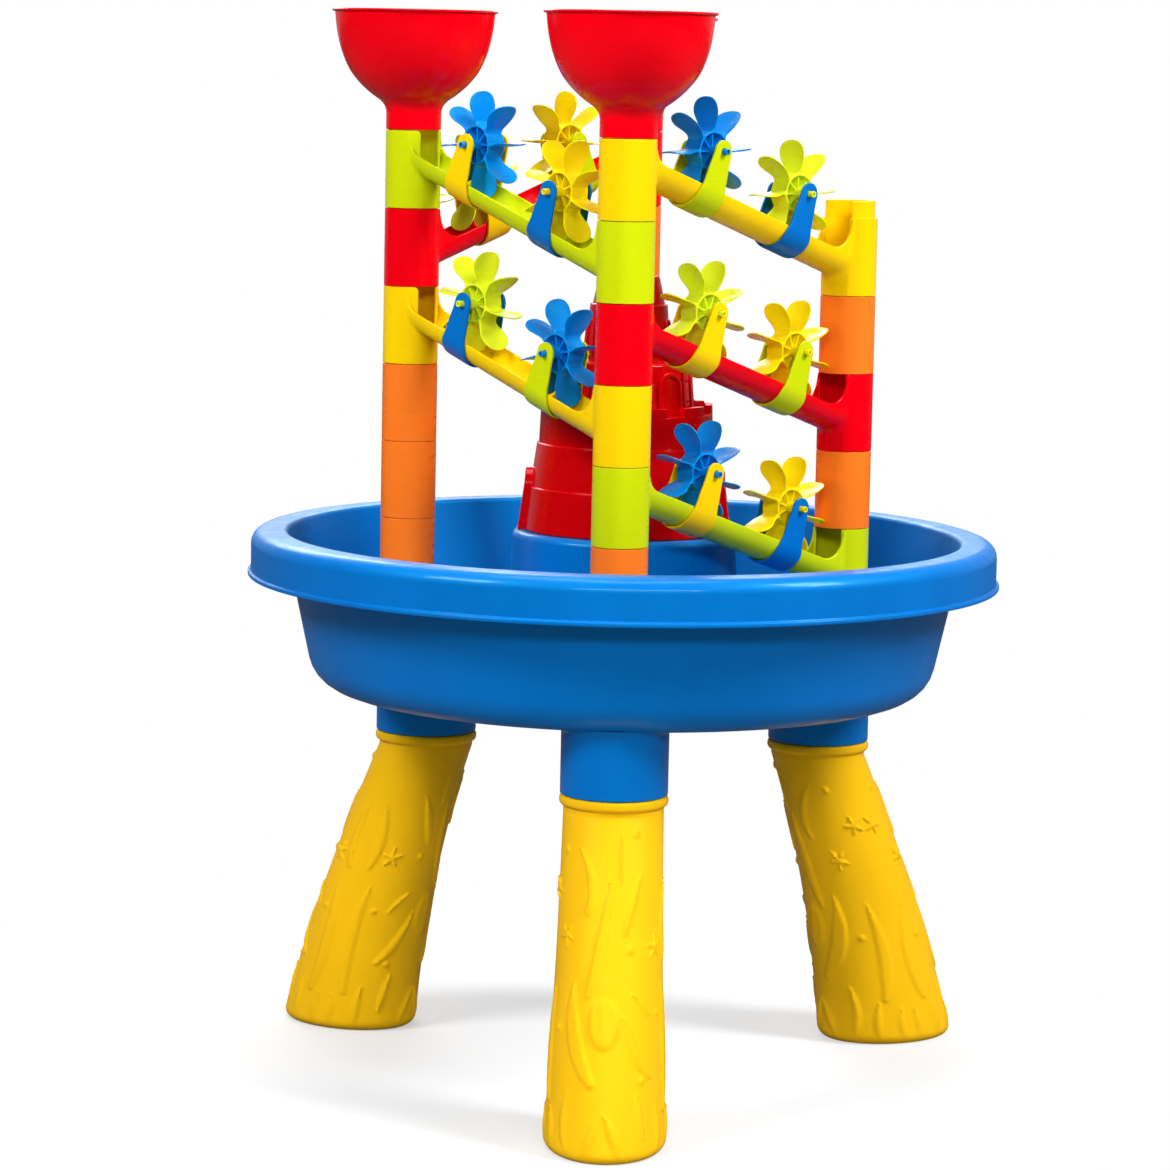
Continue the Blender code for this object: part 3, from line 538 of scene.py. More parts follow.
def broken_edges(bm, width, segments=2, degrees=35.0):
    """Breaks the sharp edges as a mould does."""
    limit = math.radians(degrees)
    sharp = [e for e in bm.edges if len(e.link_faces) == 2 and e.calc_face_angle(0.0) > limit]
    bmesh.ops.bevel(
        bm,
        geom=sharp,
        offset=width,
        offset_type="OFFSET",
        segments=segments,
        profile=0.5,
        affect="EDGES",
        clamp_overlap=True,
        material=-1,
    )
    return bm


def bored(bm, tool):
    """Cuts one body out of another."""
    scene = bpy.context.scene
    objects = []
    for body in (bm, tool):
        mesh = bpy.data.meshes.new("part")
        body.to_mesh(mesh)
        body.free()
        objects.append(bpy.data.objects.new("part", mesh))
        scene.collection.objects.link(objects[-1])
    step = objects[0].modifiers.new("bore", "BOOLEAN")
    step.operation = "DIFFERENCE"
    step.solver = "EXACT"
    step.object = objects[1]
    bpy.context.view_layer.update()
    graph = bpy.context.evaluated_depsgraph_get()
    done = bmesh.new()
    done.from_object(objects[0], graph)
    for obj in objects:
        mesh = obj.data
        bpy.data.objects.remove(obj, do_unlink=True)
        bpy.data.meshes.remove(mesh)
    return done


def placed(name, bm, matrix, finish, body, node):
    """Puts a finished body in the table's frame as a piece that stands for a node."""
    mesh = bpy.data.meshes.new(name)
    bm.to_mesh(mesh)
    mesh.transform(Matrix.Translation((0.0, AXIS_Y, 0.0)) @ matrix)
    mesh.polygons.foreach_set("use_smooth", [True] * len(mesh.polygons))
    mesh.set_sharp_from_angle(angle=math.radians(38.0))
    mesh.materials.append(moulded(finish))
    obj = bpy.data.objects.new(name, mesh)
    bpy.context.scene.collection.objects.link(obj)
    normals = obj.modifiers.new("Normals", "WEIGHTED_NORMAL")
    normals.keep_sharp = True
    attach(obj, body)
    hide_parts(node)
    return obj


def feed(tree, node, inputs):
    """Gives each named input a value, or links it to another node's output."""
    for name, value in inputs.items():
        if isinstance(value, bpy.types.NodeSocket):
            tree.links.new(value, node.inputs[name])
        else:
            node.inputs[name].default_value = value


def fresh(tree, kind, inputs, **settings):
    """A new node with its settings and inputs."""
    node = tree.nodes.new("ShaderNode" + kind)
    for name, value in settings.items():
        setattr(node, name, value)
    feed(tree, node, inputs)
    return node


def ranged(tree, value, source, target, **settings):
    """A value mapped from one range to another."""
    limits = {"From Min": source[0], "From Max": source[1], "To Min": target[0], "To Max": target[1]}
    return fresh(tree, "MapRange", {"Value": value, **limits}, **settings).outputs["Result"]


def moulded(finish):
    """One moulded plastic per colour: flow marks, fine grain and handling scuffs over a clear gloss."""
    name = "moulded_" + finish
    if name in bpy.data.materials:
        return bpy.data.materials[name]
    finishes = bpy.context.scene.sand_finishes
    base, tone = getattr(finishes, finish), finish.split("_")[-1]
    rough = finishes.satin if tone in ("gold", "blue") else finishes.gloss
    sheen, pale = SHEENS.get(tone, USUAL_SHEEN)
    coat, coat_rough = COATS.get(finish, USUAL_COAT)
    made = bpy.data.materials.new(name)
    made.use_nodes = True
    tree = made.node_tree
    where = fresh(tree, "TexCoord", {}).outputs["Object"]

    def noise(scale, detail, stretch):
        spot = fresh(tree, "Mapping", {"Vector": where, "Scale": stretch}).outputs["Vector"]
        return fresh(tree, "TexNoise", {"Vector": spot, "Scale": scale, "Detail": detail}).outputs["Fac"]

    flow = fresh(tree, "ValToRGB", {"Fac": noise(*FLOW_MARKS)})
    dark, light = flow.color_ramp.elements
    dark.position, light.position = 0.34, 0.66
    dark.color = [part * share_left for part, share_left in zip(base, FLOW_DARK)] + [1.0]
    light.color = (*base, 1.0)
    depth = GRAINS.get(finish, USUAL_GRAIN)
    grain = fresh(tree, "Bump", {"Height": noise(*GRAIN), "Strength": depth, "Distance": 0.0004})
    tint = [LEAST_TINT + (1 - LEAST_TINT) * (part / max(base)) ** pale for part in base]
    plastic = {
        "Base Color": flow.outputs["Color"],
        "Roughness": ranged(tree, noise(*SCUFFS), (0.35, 0.75), (rough - 0.03, rough + 0.12)),
        "Normal": grain.outputs["Normal"],
        "IOR": PLASTIC_IOR,
        "Specular IOR Level": sheen,
        "Specular Tint": tint + [1.0],
        "Coat Weight": coat,
        "Coat Roughness": coat_rough,
    }
    feed(tree, tree.nodes["Principled BSDF"], plastic)
    return made


class OBJECT_OT_sand_tub(bpy.types.Operator):
    """Turn the tub with its rim and plinth, and set the leg sockets and tower posts on it"""

    bl_idname = "object.sand_tub"
    bl_label = "Tub"

    def execute(self, context):
        scene = context.scene
        tub, tube, p = scene.sand_tub, scene.sand_tubes, plan(scene)
        floor, wall = tub.floor_z, tub.wall
        rim_in = tub.body_r + tub.body_lean
        rim_r = rim_in + tub.rim_w
        flange = p.rim_top - tub.flange_drop
        root_r = tub.plinth_r + tub.plinth_draft
        lean = (rim_in - tub.body_r + wall) / (tub.depth - tub.bend_h)
        bend_in = tub.body_r - wall - lean * tub.bend_h
        bend_out = tub.body_r - lean * (tub.bend_h + wall)
        root_round, rim_inner, under_round = 0.006, 0.0045, 0.004
        lip_edge, lip_top, foot_edge = 0.0012, 0.0011, 0.0008
        corners = [
            (0.0, p.plinth_top, 0.0),
            (tub.plinth_r, p.plinth_top, tub.plinth_round),
            (root_r, floor, root_round),
            (bend_in, floor, tub.bend_r),
            (rim_in, p.rim_top, rim_inner),
            (rim_r, p.rim_top, tub.rim_round),
            (rim_r, flange + tub.lip_h, lip_edge),
            (rim_r + tub.lip_out, flange + tub.lip_h, lip_top),
            (rim_r + tub.lip_out, flange, lip_edge),
            (rim_r - wall, flange, foot_edge),
            (rim_r - wall, p.rim_top - wall, tub.rim_round - wall),
            (rim_in + wall, p.rim_top - wall, wall),
            (bend_out, p.under, tub.bend_r + wall),
            (root_r - wall, p.under, under_round),
            (tub.plinth_r - wall, p.plinth_top - wall, under_round),
            (0.0, p.plinth_top - wall, 0.0),
        ]
        bodies = [turned(filleted(corners, 6), 144)]
        bore = tub.socket_r - tub.socket_wall
        joined = floor - wall / 2
        flare_h, flare_w = 0.004, 0.003
        socket = [
            (bore, p.socket_bottom, foot_edge),
            (tub.socket_r, p.socket_bottom, lip_edge),
            (tub.socket_r, p.under - flare_h, flare_h),
            (tub.socket_r + flare_w, p.under + foot_edge, 0.0),
            (tub.socket_r + flare_w, joined, 0.0),
            (bore, joined, 0.0),
        ]
        for turn in LEG_TURNS.values():
            spot = Matrix.Translation(polar(tub.socket_radius, turn))
            bodies.append(moved(turned(filleted(socket), 72), spot))
        seat = level_z(scene, tube.levels) - tube.gap
        boss_r = tube.radius + tube.boss_out
        post = [
            (0.0, seat + tube.spigot_h, 0.0),
            (p.spigot_tip_r, seat + tube.spigot_h, 0.001),
            (p.spigot_r, seat, tube.spigot_play),
            (boss_r, seat, lip_edge),
            (boss_r, joined, 0.0),
            (0.0, joined, 0.0),
        ]
        for turn in TOWER_TURNS.values():
            spot = Matrix.Translation(polar(tube.tower_radius, turn))
            bodies.append(moved(turned(filleted(post), 56), spot))
        placed("tub_shell", gathered(bodies), Matrix.Identity(4), "blue", "table", "tub")
        return {"FINISHED"}


def plateau(inset, edge):
    """A flat-topped lift with soft edges, from the distance inside an outline."""
    s = np.clip(inset / edge, 0.0, 1.0)
    return s * s * (3 - 2 * s)


def leaf(u, v, root, knee, tip, width):
    """A curved, pointed leaf along a bent line, widest in its lower half."""
    best = np.full(u.shape, 1e9)
    along = np.zeros(u.shape)
    for t in np.linspace(0.0, 1.0, 36):
        a, b, c = (1 - t) ** 2, 2 * t * (1 - t), t * t
        x, y = (a * root[k] + b * knee[k] + c * tip[k] for k in (0, 1))
        far = np.hypot(u - x, v - y)
        near = far < best
        best = np.where(near, far, best)
        along = np.where(near, t, along)
    half = width * np.sin(np.pi * np.clip(0.14 + 0.86 * along, 0.0, 1.0)) ** 0.8 + 0.0004
    return plateau(half - best, np.minimum(half, 0.0024))


def bubble(u, v, spot, radius):
    away = np.clip(1.0 - ((u - spot[0]) ** 2 + (v - spot[1]) ** 2) / radius ** 2, 0.0, 1.0)
    return np.sqrt(away)


def starfish(u, v, spot, radius, turn):
    x, y = u - spot[0], v - spot[1]
    ray = np.abs((np.arctan2(y, x) + turn + 4 * np.pi) % (2 * np.pi / 5) - np.pi / 5) / (np.pi / 5)
    return plateau(radius * (0.34 + 0.66 * ray ** 1.8) - np.hypot(x, y), 0.0022)


def shell(u, v, spot, wide, tall):
    """An oval, ribbed shell."""
    x, y = (u - spot[0]) / wide, (v - spot[1]) / tall
    dome = np.sqrt(np.clip(1.0 - x * x - y * y, 0.0, 1.0))
    rib = 0.5 + 0.5 * np.cos(np.clip(x, -1.0, 1.0) * 2.4 * np.pi + 0.8 * y)
    return np.clip(1.5 * dome, 0.0, 1.0) * (0.80 + 0.35 * rib)


LEAVES = (
    ((-0.0205, 0.178), (-0.008, 0.199), (-0.032, 0.225), 0.0046),
    ((-0.0170, 0.120), (-0.004, 0.150), (0.001, 0.206), 0.0056),
    ((0.0080, 0.198), (0.010, 0.216), (0.0075, 0.240), 0.0022),
    ((0.0140, 0.164), (0.018, 0.184), (0.030, 0.206), 0.0044),
    ((-0.0120, 0.058), (-0.036, 0.088), (-0.030, 0.131), 0.0076),
    ((0.0400, 0.060), (0.022, 0.076), (0.013, 0.108), 0.0040),
    ((0.0380, 0.104), (0.030, 0.116), (0.020, 0.122), 0.0022),
    ((-0.0150, 0.006), (-0.009, 0.024), (-0.002, 0.038), 0.0040),
    ((0.0120, 0.006), (0.007, 0.024), (-0.001, 0.038), 0.0036),
    ((-0.0310, 0.008), (-0.039, 0.030), (-0.031, 0.052), 0.0036),
    ((0.0320, 0.018), (0.029, 0.036), (0.026, 0.050), 0.0030),
    ((0.0600, 0.034), (0.069, 0.080), (0.056, 0.132), 0.0056),
    ((0.0640, 0.142), (0.055, 0.166), (0.066, 0.200), 0.0046),
    ((-0.0580, 0.040), (-0.069, 0.080), (-0.056, 0.126), 0.0056),
    ((0.0480, 0.006), (0.050, 0.024), (0.047, 0.040), 0.0034),
    ((0.0680, 0.006), (0.066, 0.020), (0.069, 0.032), 0.0030),
    ((-0.0500, 0.006), (-0.049, 0.022), (-0.053, 0.038), 0.0034),
    ((-0.0680, 0.006), (-0.066, 0.020), (-0.069, 0.032), 0.0030),
)
BUBBLES = (
    ((0.0230, 0.2345), 0.0034),
    ((0.0190, 0.1520), 0.0030),
    ((0.0310, 0.0590), 0.0030),
    ((0.0500, 0.1050), 0.0028),
    ((-0.0480, 0.0930), 0.0028),
    ((-0.0470, 0.2200), 0.0030),
)
STARS = (((-0.042, 0.160), 0.0105, 0.3), ((0.046, 0.152), 0.0105, 0.9), ((-0.064, 0.190), 0.0110, 0.1))
SHELL = ((-0.002, 0.1005), 0.0135, 0.0190)


def sea_relief(u, v, around):
    """Generic sea plants, bubbles, stars and a shell on the leg's unrolled surface, twice round it."""
    total = np.zeros(u.shape)
    for offset, sign in ((0.0, 1.0), (around / 2, -1.0)):
        s = sign * ((u - offset + 1.5 * around) % around - around / 2)
        motifs = [leaf(s, v, *shape) for shape in LEAVES]
        motifs += [bubble(s, v, *shape) for shape in BUBBLES]
        motifs += [starfish(s, v, *shape) for shape in STARS]
        motifs.append(shell(s, v, *SHELL))
        total = np.maximum(total, np.max(motifs, axis=0))
    return total


class OBJECT_OT_sand_legs(bpy.types.Operator):
    """Sweep the splayed legs, raise their sea relief and roll their collars"""

    bl_idname = "object.sand_legs"
    bl_label = "Legs"

    def execute(self, context):
        scene = context.scene
        leg, tub, tube, p = scene.sand_legs, scene.sand_tub, scene.sand_tubes, plan(scene)
        top = p.socket_bottom - tube.gap
        neck = top - leg.collar_h - leg.neck_drop
        rows = [(top - 0.5 * leg.collar_h, 0.0)]
        rows += [(z, 0.0) for z in np.linspace(neck, leg.foot_round, 190)]
        for k in range(1, 9):
            turn = math.pi / 2 * k / 8
            rows.append((leg.foot_round * (1 - math.sin(turn)), leg.foot_round * (1 - math.cos(turn))))
        sides = 168

        def station(z):
            s = min(max((neck - z) / neck, 0.0), 1.0)
            return (
                tub.socket_radius + leg.splay * (1.38 * s - 0.38 * s * s),
                leg.neck_r + (leg.foot_half_t - leg.neck_r) * (0.25 * s + 0.75 * s * s),
                leg.neck_r + (leg.foot_half_r - leg.neck_r) * s ** 1.15,
            )

        def place(u, v):
            z, inset = rows[round(v * (len(rows) - 1))]
            radius, half_t, half_r = station(z)
            turn = 2 * math.pi * u - math.pi
            return (radius + (half_r - inset) * math.cos(turn), (half_t - inset) * math.sin(turn), z)

        body = draped(sides, len(rows) - 1, place)
        spots = np.array([vert.co for vert in body.verts])
        middles = np.array([station(z) for z in spots[:, 2]])
        turns = np.arctan2(spots[:, 1] / middles[:, 1], (spots[:, 0] - middles[:, 0]) / middles[:, 2])
        heights = spots[:, 2]
        raised = leg.relief * sea_relief(turns * leg.mean_r, heights, 2 * math.pi * leg.mean_r)
        foot_fade = np.clip((heights - 0.004) / 0.012, 0.0, 1.0)
        neck_fade = np.clip((neck - 0.002 - heights) / 0.010, 0.0, 1.0)
        body.normal_update()
        for vert, lift in zip(body.verts, raised * foot_fade * neck_fade):
            vert.co += vert.normal * float(lift)
        low, under = top - leg.collar_h, 0.0008
        sunk = leg.neck_r - 0.006
        collar = [
            (sunk, top, 0.0),
            (leg.collar_r, top, 0.0030),
            (leg.collar_r, low + 0.0012, 0.0038),
            (leg.neck_r - 0.001, low - under, 0.0),
            (sunk, low - under, 0.0),
        ]
        middle = shifted(tub.socket_radius, 0.0, 0.0)
        ring = moved(turned(filleted(collar, 6), 96), middle)
        spigot_r = tub.socket_r - tub.socket_wall - leg.spigot_fit
        spigot_in, root, tip = spigot_r - leg.spigot_wall, top - 0.002, top + leg.spigot_h
        spigot = [
            (spigot_in, root, 0.0),
            (spigot_r, root, 0.0),
            (spigot_r, tip, 0.001),
            (spigot_in, tip, 0.0008),
        ]
        plug = moved(turned(filleted(spigot), 64), middle)
        whole = gathered([body, ring, plug])
        for side, turn in LEG_TURNS.items():
            seat = spun(math.radians(turn))
            placed("leg_%s_moulding" % side, whole, seat, "gold", "table", "leg_" + side)
        whole.free()
        return {"FINISHED"}


class OBJECT_OT_sand_tubes(bpy.types.Operator):
    """Turn the plain tower segments with their male tops"""

    bl_idname = "object.sand_tubes"
    bl_label = "Tubes"

    def execute(self, context):
        scene = context.scene
        tube, p = scene.sand_tubes, plan(scene)
        top = tube.pitch - tube.gap
        corners = [
            (tube.radius, 0.0, tube.seam_round),
            (tube.radius, top, tube.seam_round),
            (p.spigot_r, top, 0.0002),
            (p.spigot_tip_r, top + tube.spigot_h, 0.0008),
            (p.spigot_bore_r, top + tube.spigot_h, 0.0005),
            (p.bore_r, 0.0, 0.0005),
        ]
        bm = turned(filleted(corners), 72)
        for tower, level in plain_segments():
            spot = polar(tube.tower_radius, TOWER_TURNS[tower]) + Vector((0.0, 0.0, level_z(scene, level)))
            name = "tube_%s_%d" % (tower, level)
            placed(name + "_segment", bm, Matrix.Translation(spot), "orange", "table", name)
        bm.free()
        return {"FINISHED"}


def slotted_wall(radius, low, high, thick, half_slot, sill, corner):
    """A tube wall with a slot towards +X, open at the top: a rolled sheet that is given its thickness."""
    edge = math.asin(half_slot / radius)
    steps, around, rows = 5, 56, 10
    # Angle, height of the slot's foot and height of the wall's top. Both heights round the slot's corners.
    half = [(0.0, sill, high), (0.5 * (edge - corner / radius), sill, high)]
    for k in range(steps, 0, -1):
        away = corner * (k / steps) ** 1.3
        foot = sill + corner - math.sqrt(corner ** 2 - (corner - away) ** 2)
        half.append((edge - away / radius, foot, high))
    for k in range(steps + 1):
        away = corner * (k / steps) ** 1.3
        top = high - corner + math.sqrt(corner ** 2 - (corner - away) ** 2)
        half.append((edge + away / radius, sill + corner, top))
    last = half[-1][0]
    free = 2 * math.pi - 2 * last
    columns = [(-turn, foot, top) for turn, foot, top in reversed(half[1:])] + half
    columns += [(last + free * k / around, sill + corner, high) for k in range(1, around + 1)]
    bm = bmesh.new()
    bmesh.ops.create_grid(bm, x_segments=len(columns) - 1, y_segments=2 * rows, size=0.5)
    for vert in bm.verts:
        turn, foot, top = columns[round((vert.co.x + 0.5) * (len(columns) - 1))]
        share_up = (vert.co.y + 0.5) * 2
        z = low + (foot - low) * share_up if share_up < 1 else foot + (top - foot) * (share_up - 1)
        vert.co = (radius * math.cos(turn), radius * math.sin(turn), z)
    bmesh.ops.remove_doubles(bm, verts=bm.verts, dist=1e-6)
    gone = []
    for face in bm.faces:
        middle = face.calc_center_median()
        inside = abs(math.atan2(middle.y, middle.x)) < edge
        if inside and min(v.co.z for v in face.verts) > sill - 1e-6:
            gone.append(face)
    bmesh.ops.delete(bm, geom=gone, context="FACES")
    bmesh.ops.recalc_face_normals(bm, faces=bm.faces)
    if bm.faces[0].normal.dot(bm.faces[0].calc_center_median() * Vector((1, 1, 0))) < 0:
        bmesh.ops.reverse_faces(bm, faces=bm.faces)
    bmesh.ops.solidify(bm, geom=bm.faces[:], thickness=thick)
    bmesh.ops.recalc_face_normals(bm, faces=bm.faces)
    return broken_edges(bm, 0.0004)


def channel_body(scene):
    """The half-pipe, its walls swept up and filleted where it meets the two tubes."""
    chute, tube, p = scene.sand_chutes, scene.sand_tubes, plan(scene)
    outer, inner = chute.half_w, chute.half_w - chute.wall
    sink = 0.0002
    reach = math.sqrt(tube.radius ** 2 - (outer - chute.wall / 2) ** 2)
    rim = chute.depth / math.cos(p.tilt)
    end = p.spacing - reach
    rise = -tube.pitch - chute.horn_gap - underside(scene, end) - rim
    sides, arc, crown = 10, 28, 6
    ring = [("out", 1, k / sides) for k in range(sides)]
    ring += [("floor_out", math.pi * k / arc, 0) for k in range(arc)]
    ring += [("out", -1, 1 - k / sides) for k in range(sides)]
    ring += [("crown", -1, math.pi * k / crown) for k in range(crown)]
    ring += [("in", -1, k / sides) for k in range(sides)]
    ring += [("floor_in", math.pi * (1 - k / arc), 0) for k in range(arc)]
    ring += [("in", 1, 1 - k / sides) for k in range(sides)]
    ring += [("crown", 1, math.pi * (1 - k / crown)) for k in range(crown)]

    halves = {"out": outer, "floor_out": outer, "in": inner, "floor_in": inner}
    halves["crown"] = (outer + inner) / 2

    def crest(x):
        """Height of the walls above the underside, with the sweeps at both tubes."""
        edge = rim
        sweeps = ((x - reach, chute.horn_up, chute.horn_up), (end - x, chute.horn_low, rise))
        for near, run, high in sweeps:
            along = min(1.0 - near / run, 1.0)
            if along > 0:
                edge += high * (1.0 - math.sqrt(1.0 - along ** 2))
        return edge

    def flare(away, radius):
        part = 1.0 - min(away / radius, 1.0)
        return radius * (1.0 - math.sqrt(1.0 - part * part))

    def place(u, v):
        kind, first, second = ring[round(u * len(ring)) % len(ring)]
        t = 0.5 - 0.5 * math.cos(math.pi * v)
        half = halves[kind]
        y = half * (math.cos(first) if kind.startswith("floor") else first)
        if kind == "crown":
            y += first * chute.wall / 2 * math.cos(second)
        run = p.spacing - 2 * math.sqrt(tube.radius ** 2 - y * y)
        away = run * min(t, 1.0 - t)
        spread = flare(away, chute.fillet)
        sag = 0.0
        if kind == "floor_out":
            sag = math.sin(first) * flare(away, chute.fillet_low)
            y += math.cos(first) * spread
        elif kind == "out":
            y += first * spread
        elif kind == "crown":
            y += first * spread * (0.5 + 0.5 * math.cos(second))
        foot = math.sqrt(tube.radius ** 2 - y * y) - sink + away
        x = foot if t < 0.5 else p.spacing - foot
        top = crest(x) - chute.wall / 2
        base = chute.half_w / math.cos(p.tilt)
        if kind.startswith("floor"):
            h = (chute.half_w - half * math.sin(first)) / math.cos(p.tilt) - sag
        elif kind == "crown":
            h = top + chute.wall / 2 * math.sin(second)
        else:
            h = top + (base - top) * second
        return Vector((x, y, underside(scene, x) + h))

    return draped(len(ring), 72, place)


def chute_body(scene):
    """Upper and lower segment and the channel between them."""
    chute, tube, p = scene.sand_chutes, scene.sand_tubes, plan(scene)
    top = -tube.gap
    floor = chute.wall / math.cos(p.tilt)
    sill = underside(scene, tube.radius) + floor + chute.sill
    inlet = underside(scene, p.spacing - tube.radius) + floor
    aside = shifted(p.spacing, 0.0, 0.0) @ spun(math.pi)
    upper = (tube.gap - tube.pitch, top, tube.wall, chute.outlet_w / 2, sill, chute.corner)
    slot = chute.half_w - chute.wall
    lower = (tube.gap - 2 * tube.pitch, top - tube.pitch, tube.wall, slot, inlet, chute.horn_gap)
    bodies = [channel_body(scene), slotted_wall(tube.radius, *upper)]
    bodies.append(moved(slotted_wall(tube.radius, *lower), aside))
    sunk, foot = p.bore_r + 0.0005, top - 0.0008
    spigot = [
        (sunk, foot, 0.0),
        (sunk, top - 0.0002, 0.0),
        (p.spigot_r, top, 0.0),
        (p.spigot_tip_r, top + tube.spigot_h, 0.0006),
        (p.spigot_bore_r, top + tube.spigot_h, 0.0005),
        (p.bore_r - 0.0002, foot, 0.0),
    ]
    outline = filleted(spigot)
    seats = (
        (chute.outlet_w / 2 + chute.corner, Matrix.Identity(4)),
        (slot, shifted(0.0, 0.0, -tube.pitch) @ aside),
    )
    for half_slot, seat in seats:
        edge = math.asin(half_slot / p.bore_r)
        open_top = turned(outline, 54, 2 * math.pi - 2 * edge)
        bodies.append(moved(open_top, seat @ spun(edge)))
    edge_r, crown, plate_t = p.bore_r + 0.0008, 0.0006, 0.002
    plate = [
        (0.0, sill + crown, 0.0),
        (edge_r, sill - crown, 0.0),
        (edge_r, sill - crown - plate_t, 0.0),
        (0.0, sill - 0.0002 - plate_t, 0.0),
    ]
    bodies.append(turned(filleted(plate), 48))
    return gathered(bodies)


class OBJECT_OT_sand_chutes(bpy.types.Operator):
    """Sweep the half-pipe chutes with their slotted tower segments"""

    bl_idname = "object.sand_chutes"
    bl_label = "Chutes"

    def execute(self, context):
        scene = context.scene
        bm = chute_body(scene)
        for name in CHUTE_RUNS:
            spot = chute_frame(scene, name)
            placed("chute_%s_moulding" % name, bm, spot, name.split("_")[0], "table", "chute_" + name)
        bm.free()
        return {"FINISHED"}


def squared(turn, half_a, half_b, power):
    """A point of a rounded rectangle."""
    c, s = math.cos(turn), math.sin(turn)
    a = half_a * math.copysign(abs(c) ** (2 / power), c)
    b = half_b * math.copysign(abs(s) ** (2 / power), s)
    return a, b


def ease(low, high, value):
    s = min(max((value - low) / (high - low), 0.0), 1.0)
    return s * s * (3 - 2 * s)


class OBJECT_OT_sand_straps(bpy.types.Operator):
    """Bend the straps round the channels, taper their arms and bore them for the pins"""

    bl_idname = "object.sand_straps"
    bl_label = "Straps"

    def execute(self, context):
        scene = context.scene
        wheel, chute, p = scene.sand_wheels, scene.sand_chutes, plan(scene)
        middle = chute.half_w
        mean = (p.strap_in + p.strap_out) / 2
        tip = p.axle_up + wheel.arm_half_w
        straight = tip - middle
        bow = math.pi * mean
        total = 2 * straight + bow
        steps = 132

        def half_width(h):
            if h > p.axle_up:
                return math.sqrt(max(wheel.arm_half_w ** 2 - (h - p.axle_up) ** 2, 1e-9))
            waist = 0.8 * wheel.strap_half_w
            narrow = wheel.arm_half_w + (waist - wheel.arm_half_w) * ease(p.axle_up, 0.022, h)
            return narrow + (wheel.strap_half_w - narrow) * ease(0.024, 0.009, h)

        def place(u, v):
            turn = 2 * math.pi * u
            t = 0.5 - 0.5 * math.cos(math.pi * v)
            s = total * (0.6 * v + 0.4 * t)
            if s < straight:
                angle, rise = math.pi / 2, straight - s
            elif s > straight + bow:
                angle, rise = -math.pi / 2, s - straight - bow
            else:
                angle, rise = math.pi / 2 - (s - straight) / mean, 0.0
            h = middle - mean * math.cos(angle) + rise
            across, thick = squared(turn, half_width(h), wheel.strap_t / 2, 7.0)
            radius = mean + thick
            return (across, radius * math.sin(angle), middle - radius * math.cos(angle) + rise)

        band = draped(44, steps, place)
        hole_r, far = wheel.pin_r + wheel.pin_fit, 0.03
        tool = turned([(0.0, far), (hole_r, far), (hole_r, -far), (0.0, -far)], 32)
        moved(tool, shifted(0.0, 0.0, p.axle_up) @ Matrix.Rotation(-math.pi / 2, 4, "X"))
        bm = bored(band, tool)
        for (name, place_name), (_, finish, _) in WHEEL_SETS.items():
            node = "strap_%s_%s" % (name, place_name)
            placed(node + "_band", bm, strap_frame(scene, name, place_name), finish, "table", node)
        bm.free()
        return {"FINISHED"}


def paddle_body(scene):
    """One ovate, dished paddle along X with a filleted root on the drum; the axle is Y."""
    wheel, chute = scene.sand_wheels, scene.sand_chutes
    widest = chute.half_w - chute.wall - wheel.paddle_clear
    root = wheel.drum_r - 0.5 * wheel.drum_wall
    bulge, tip_power = 0.58, 2.3
    root_fillet, tip_curl = 0.0026, 0.0010

    def place(u, v):
        v = 1.0 - (1.0 - v) ** 1.35
        if v < bulge:
            half = wheel.drum_half_w + (widest - wheel.drum_half_w) * ease(0.04, bulge, v)
        else:
            half = widest * max(1.0 - ((v - bulge) / (1 - bulge)) ** tip_power, 0.0) ** (1 / tip_power)
        half = max(half, 0.0004)
        thick = wheel.paddle_t / 2 * (1.0 - 0.25 * v) + root_fillet * max(1.0 - v / 0.16, 0.0) ** 2
        across, away = squared(2 * math.pi * u, half, thick, 5.0)
        curl = wheel.dish * (across / widest) ** 2 * ease(0.1, 0.6, v) + tip_curl * ease(0.5, 1.0, v)
        return (root + (wheel.radius - root) * v, across, away + curl)

    return draped(40, 34, place)


